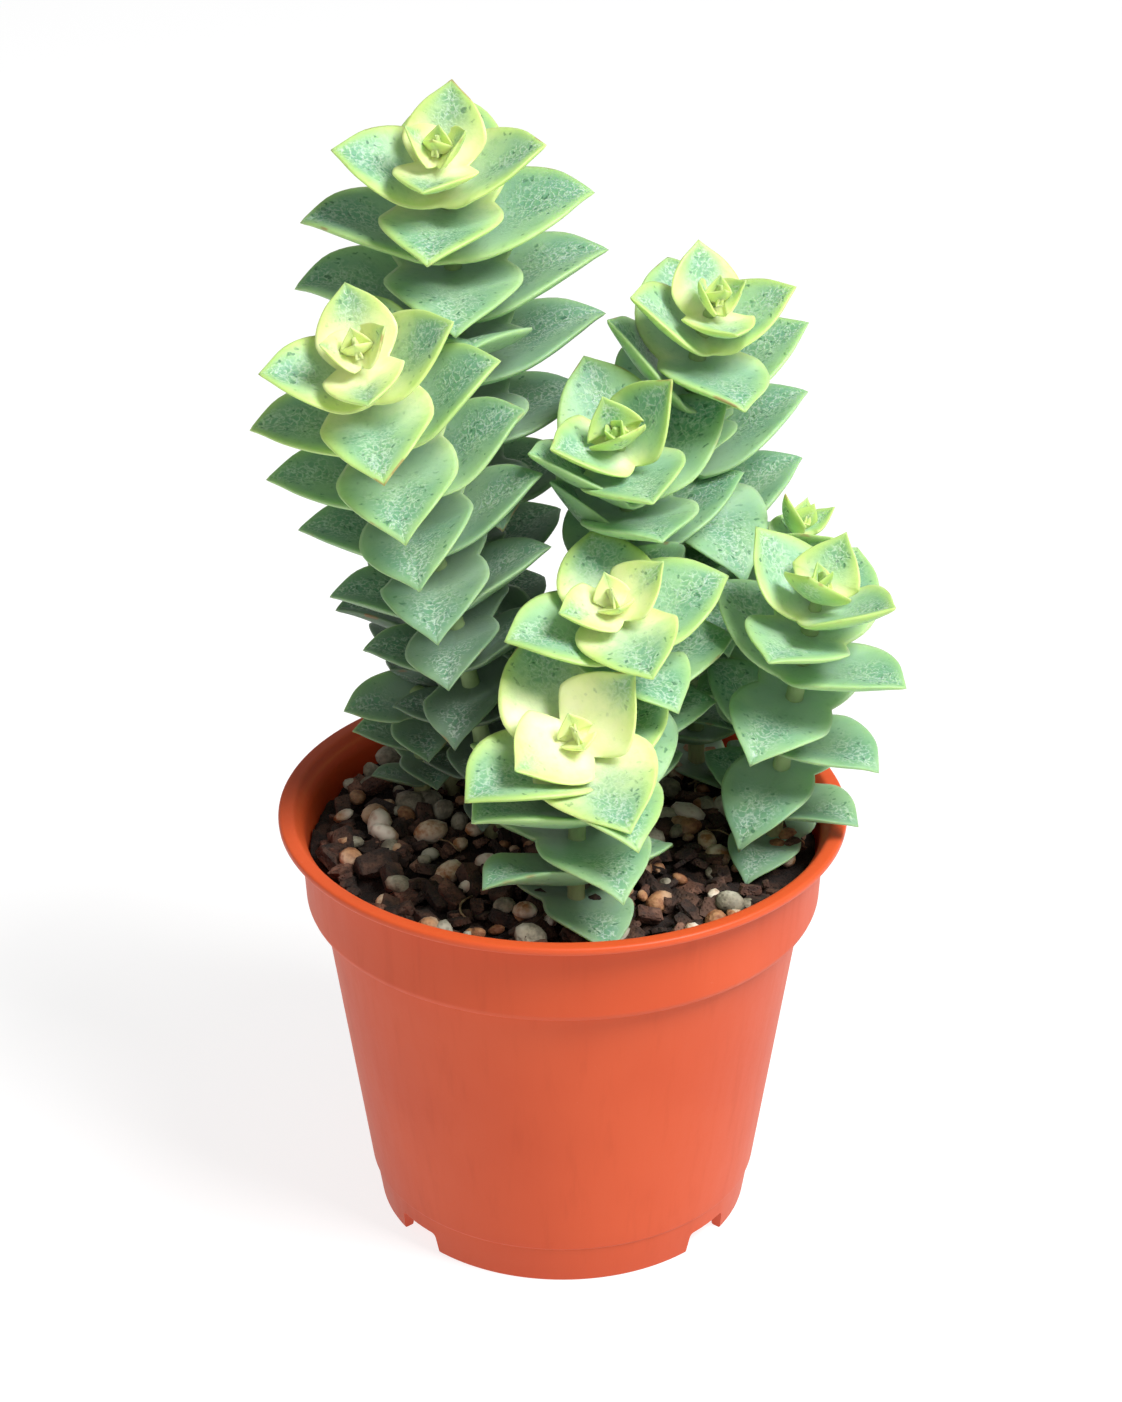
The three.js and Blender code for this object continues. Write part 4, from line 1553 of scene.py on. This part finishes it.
@dataclass
class Thicket:
    """All the shoots, whose leaves are bent clear of each other, the pot and the soil.

    lifts, yaws and reaches: the bends to try, in degrees and as shares of the leaf's length.
    yaw_cost and reach_cost: what a degree of yaw and the loss of the whole length count for, where
    a degree of lift counts for 1. crossing_cost: the same for each crossing of two faces.
    """

    shoots: list[Shoot]
    pot_and_soil: list[Solid]
    leaves: list[Solid] = field(default_factory=list)
    lifts: tuple[int, ...] = (0, 7, -7, 14, -14, 22, -22, 32)
    yaws: tuple[int, ...] = (0, 7, -7, 14, -14, 21, -21)
    reaches: tuple[float, ...] = (1.0, 0.9, 0.8, 0.68, 0.5)
    yaw_cost: float = 0.8
    reach_cost: float = 75.0
    crossing_cost: float = 6.0
    stem_gap: float = 0.2

    def cost(self, lift: float, yaw: float, reach: float, crossings: int = 0) -> float:
        """How much a bend counts for.

        Args:
            lift: its lift in degrees.
            yaw: its yaw in degrees.
            reach: the share of the leaf's length that it keeps.
            crossings: how many faces still cross.

        Returns:
            The cost.
        """
        cost = crossings * self.crossing_cost + abs(lift) + self.yaw_cost * abs(yaw)
        return cost + self.reach_cost * (1 - reach)

    def trials(self) -> list[tuple[int, int, float]]:
        """The bends to try, the slightest first."""
        options = [(lift, yaw, reach) for lift in self.lifts for yaw in self.yaws
                   for reach in self.reaches]
        return sorted(options, key=lambda option: self.cost(*option))

    def bend_clear(self, pair: LeafPair, side: int, around: list[Solid],
                   trials: list[tuple[int, int, float]]) -> int:
        """Bends one leaf by the cheapest trial up to the first that clears everything.

        Args:
            pair: the leaf's pair.
            side: which of its leaves, 1 or -1.
            around: what it has to stay clear of.
            trials: the bends to try.

        Returns:
            How many faces still cross.
        """
        bend = pair.bend(side)
        lift, yaw = bend.lift, bend.yaw
        best = (math.inf,)
        for more_lift, more_yaw, reach in trials:
            bend.lift = lift + math.radians(more_lift)
            bend.yaw = yaw + math.radians(more_yaw)
            bend.reach = reach
            leaf = pair.solid(side)
            crossings = sum(leaf.crosses(other) for other in around)
            cost = self.cost(more_lift, more_yaw, reach, crossings)
            if cost < best[0]:
                best = (cost, crossings, bend.lift, bend.yaw, reach)
            if crossings == 0:
                break
        _, crossings, bend.lift, bend.yaw, bend.reach = best
        return crossings

    def settle(self) -> int:
        """Bends the leaves, each shoot's clear of the shoots settled before it.

        Returns:
            How many leaves still meet something.
        """
        stuck = 0
        trials = self.trials()
        stems = [shoot.stem_solid(self.stem_gap) for shoot in self.shoots]
        for shoot, own in zip(self.shoots, stems):
            around = self.pot_and_soil + self.leaves + [stem for stem in stems if stem is not own]
            for pair in shoot.leaves:
                for side in (1, -1):
                    stuck += self.bend_clear(pair, side, around, trials) > 0
                    self.leaves.append(pair.solid(side))
        return stuck


def shoots() -> list[Shoot]:
    """The nine shoots, in the order in which they give way to each other."""
    return [
        Shoot("shoot_front_low", base=(2, -25), tip=(2.1, -25.3, 95.2), lean=(-0.05, -1.15),
              heading=40.9, drift=-0.3, skew=-17.5, leaf=24.1, growth=1.63, taper=0.22, pitch=5.28,
              rise=(41.6, 5, -7.7), pairs=8, side_first=False, lime=(1.05, 3.4), bud=5.6),
        Shoot("shoot_centre_low", base=(4.6, -9.4), tip=(7.8, -14.3, 111.7), lean=(-0.16, -0.55),
              heading=28.7, drift=-1.9, skew=-11.6, leaf=23.2, growth=2.17, taper=0.29, pitch=5.14,
              rise=(32.9, 16.2, -0.7), pairs=9, side_first=False, lime=(1.0, 3.0), bud=5.6, droop=8),
        Shoot("shoot_front_left", base=(-11.2, 0.6), tip=(-29.2, -17.3, 153.3), lean=(-0.2, -0.74),
              heading=13.2, drift=-1.1, skew=-0.4, leaf=24.6, growth=3.12, taper=0.45, pitch=5.87,
              rise=(55.1, 21.1, 9.1), pairs=16, side_first=False, lime=(1.05, 4.6),
              painted_shade=(0.0, 0.9), droop=18),
        Shoot("shoot_back_left", base=(-18, 14.9), tip=(-18.1, 7.2, 175.2), lean=(-0.12, -0.61),
              heading=-14, drift=3.3, skew=-2.4, leaf=27.4, growth=3.33, taper=0.28, pitch=5.87,
              rise=(62.9, 16.6, 13.6), pairs=19, side_first=False, lime=(0.95, 4.2),
              painted_shade=(0.0, 1.0), droop=14),
        Shoot("shoot_middle", base=(9, 3.5), tip=(8.3, 0.9, 132.4), lean=(-0.24, -0.86),
              heading=31.8, drift=-0.8, skew=-11.5, leaf=24.7, growth=2.69, taper=0.22, pitch=5.68,
              rise=(77.9, 20, 17), pairs=10, side_first=True, lime=(0.78, 2.8)),
        Shoot("shoot_right", base=(33.3, -3.2), tip=(38.5, -11.2, 112.9), lean=(0.15, -0.21),
              heading=-40.4, drift=0.3, skew=13.5, leaf=21.3, growth=1.93, taper=0.22, pitch=7.3,
              rise=(55.9, 19.2, 18.8), pairs=8, side_first=True, lime=(0.75, 2.6), droop=40),
        Shoot("shoot_back_right", base=(22, 20.3), tip=(23, 13.1, 149.9), lean=(0.29, -0.57),
              heading=11.2, drift=1.2, skew=2, leaf=26.2, growth=3.49, taper=0.3, pitch=6.42,
              rise=(62.4, 27.5, 14.1), pairs=16, side_first=False, lime=(0.9, 3.6),
              painted_shade=(0.0, 0.5), droop=16),
        Shoot("shoot_back_low", base=(31, 11), tip=(37, 12, 113), lean=(0.4, 0.2),
              heading=20, drift=2, skew=0, leaf=15, growth=2, taper=0.15, pitch=6,
              rise=(60, 16, 16), pairs=9, side_first=False, lime=(0.6, 2.0), droop=25),
        Shoot("shoot_left_low", base=(-22.8, 11), tip=(-22.9, 6, 87.4), lean=(-0.15, -0.55),
              heading=4, drift=3, skew=0, leaf=12.5, growth=1, taper=0.3, pitch=4.4,
              rise=(12, 12, 2), pairs=5, side_first=True, lime=(0.05, 1.0), painted_shade=(0.6, 0.8), cut=2.2),
    ]


# ---------------------------------------------------------------- studio


@dataclass(frozen=True)
class Lamp:
    """A square soft light; place and size in metres, power in watts."""

    name: str
    place: tuple[float, float, float]
    size: float
    power: float


@dataclass
class Studio:
    """Pale floor, soft lights and the camera."""

    aim: tuple[float, float, float] = (0.0, 0.0, 0.09)
    lamps: tuple[Lamp, ...] = (
        Lamp("key", (0.5, -0.34, 0.9), 0.45, 14.5),
        Lamp("fill", (-0.3, -1.0, 0.6), 0.8, 1.0),
    )
    sky: float = 0.26
    camera_place: tuple[float, float, float] = (-0.00027, -0.4813, 0.3328)
    camera_pitch: float = 26.9
    lens: float = 88.8
    sensor: float = 36
    floor_size: float = 40.0
    floor_light: str = "9a9a9a"
    floor_dark: str = "979798"
    floor_glow: float = 0.8

    def floor(self) -> None:
        """Lays the floor."""
        shape = bmesh.new()
        bmesh.ops.create_grid(shape, x_segments=2, y_segments=2, size=self.floor_size)
        mesh = bpy.data.meshes.new("floor")
        shape.to_mesh(mesh)
        shape.free()
        sheet = FinishSheet("floor_paper")
        tint = sheet.mix(sheet.cloud(60, 2.0) * 0.3, self.floor_light, self.floor_dark)
        mesh.materials.append(sheet.finish({
            "Base Color": tint, "Roughness": 0.95, "Specular IOR Level": 0.0,
            "Emission Color": (1.0, 1.0, 1.0, 1.0), "Emission Strength": self.floor_glow}))
        made = bpy.data.objects.new("floor", mesh)
        bpy.context.scene.collection.objects.link(made)

    def light(self) -> None:
        """Hangs the lamps and sets the even light all round."""
        for lamp in self.lamps:
            data = bpy.data.lights.new(lamp.name, "AREA")
            data.shape = "SQUARE"
            data.size = lamp.size
            data.energy = lamp.power
            made = bpy.data.objects.new(lamp.name, data)
            made.location = lamp.place
            aim = Vector(self.aim) - Vector(lamp.place)
            made.rotation_euler = aim.to_track_quat("-Z", "Y").to_euler()
            bpy.context.scene.collection.objects.link(made)
        world = bpy.data.worlds.new("studio")
        world.use_nodes = True
        back = world.node_tree.nodes["Background"]
        back.inputs["Color"].default_value = (1, 1, 1, 1)
        back.inputs["Strength"].default_value = self.sky
        bpy.context.scene.world = world
        bpy.context.scene.view_settings.view_transform = "Standard"

    def camera(self) -> None:
        """Sets up the camera."""
        data = bpy.data.cameras.new("camera")
        data.sensor_fit = "AUTO"
        data.sensor_width = self.sensor
        data.lens = self.lens
        data.clip_start = 0.01
        made = bpy.data.objects.new("camera", data)
        made.location = self.camera_place
        made.rotation_euler = (math.radians(90 - self.camera_pitch), 0, 0)
        bpy.context.scene.collection.objects.link(made)
        bpy.context.scene.camera = made


def report(made: list[bpy.types.Object]) -> None:
    """Logs each piece with its number of faces."""
    for item in made:
        LOG.info("%s: %d faces", item.name, len(item.data.polygons))


def main() -> None:
    """Builds the plant, its pot and soil, and the studio."""
    logging.basicConfig(level=logging.INFO, format="%(message)s")
    studio = Studio()
    studio.camera()
    studio.floor()
    studio.light()
    pot = NurseryPot().build()
    soil = GrittySoil()
    bed = soil.bed()
    report([pot, bed])
    plant = shoots()
    draw = random.Random(SEED)
    for shoot in plant:
        shoot.grow(draw)
    thicket = Thicket(plant, [Solid.of_mesh(pot.data), Solid.of_mesh(bed.data)])
    LOG.info("leaves that still meet something: %d", thicket.settle())
    report(soil.strew(thicket.leaves))
    skin, bark = LeafFinish().material(), StemFinish().material()
    for shoot in plant:
        report(shoot.build(skin, bark))
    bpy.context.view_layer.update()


if __name__ == "__main__":
    main()
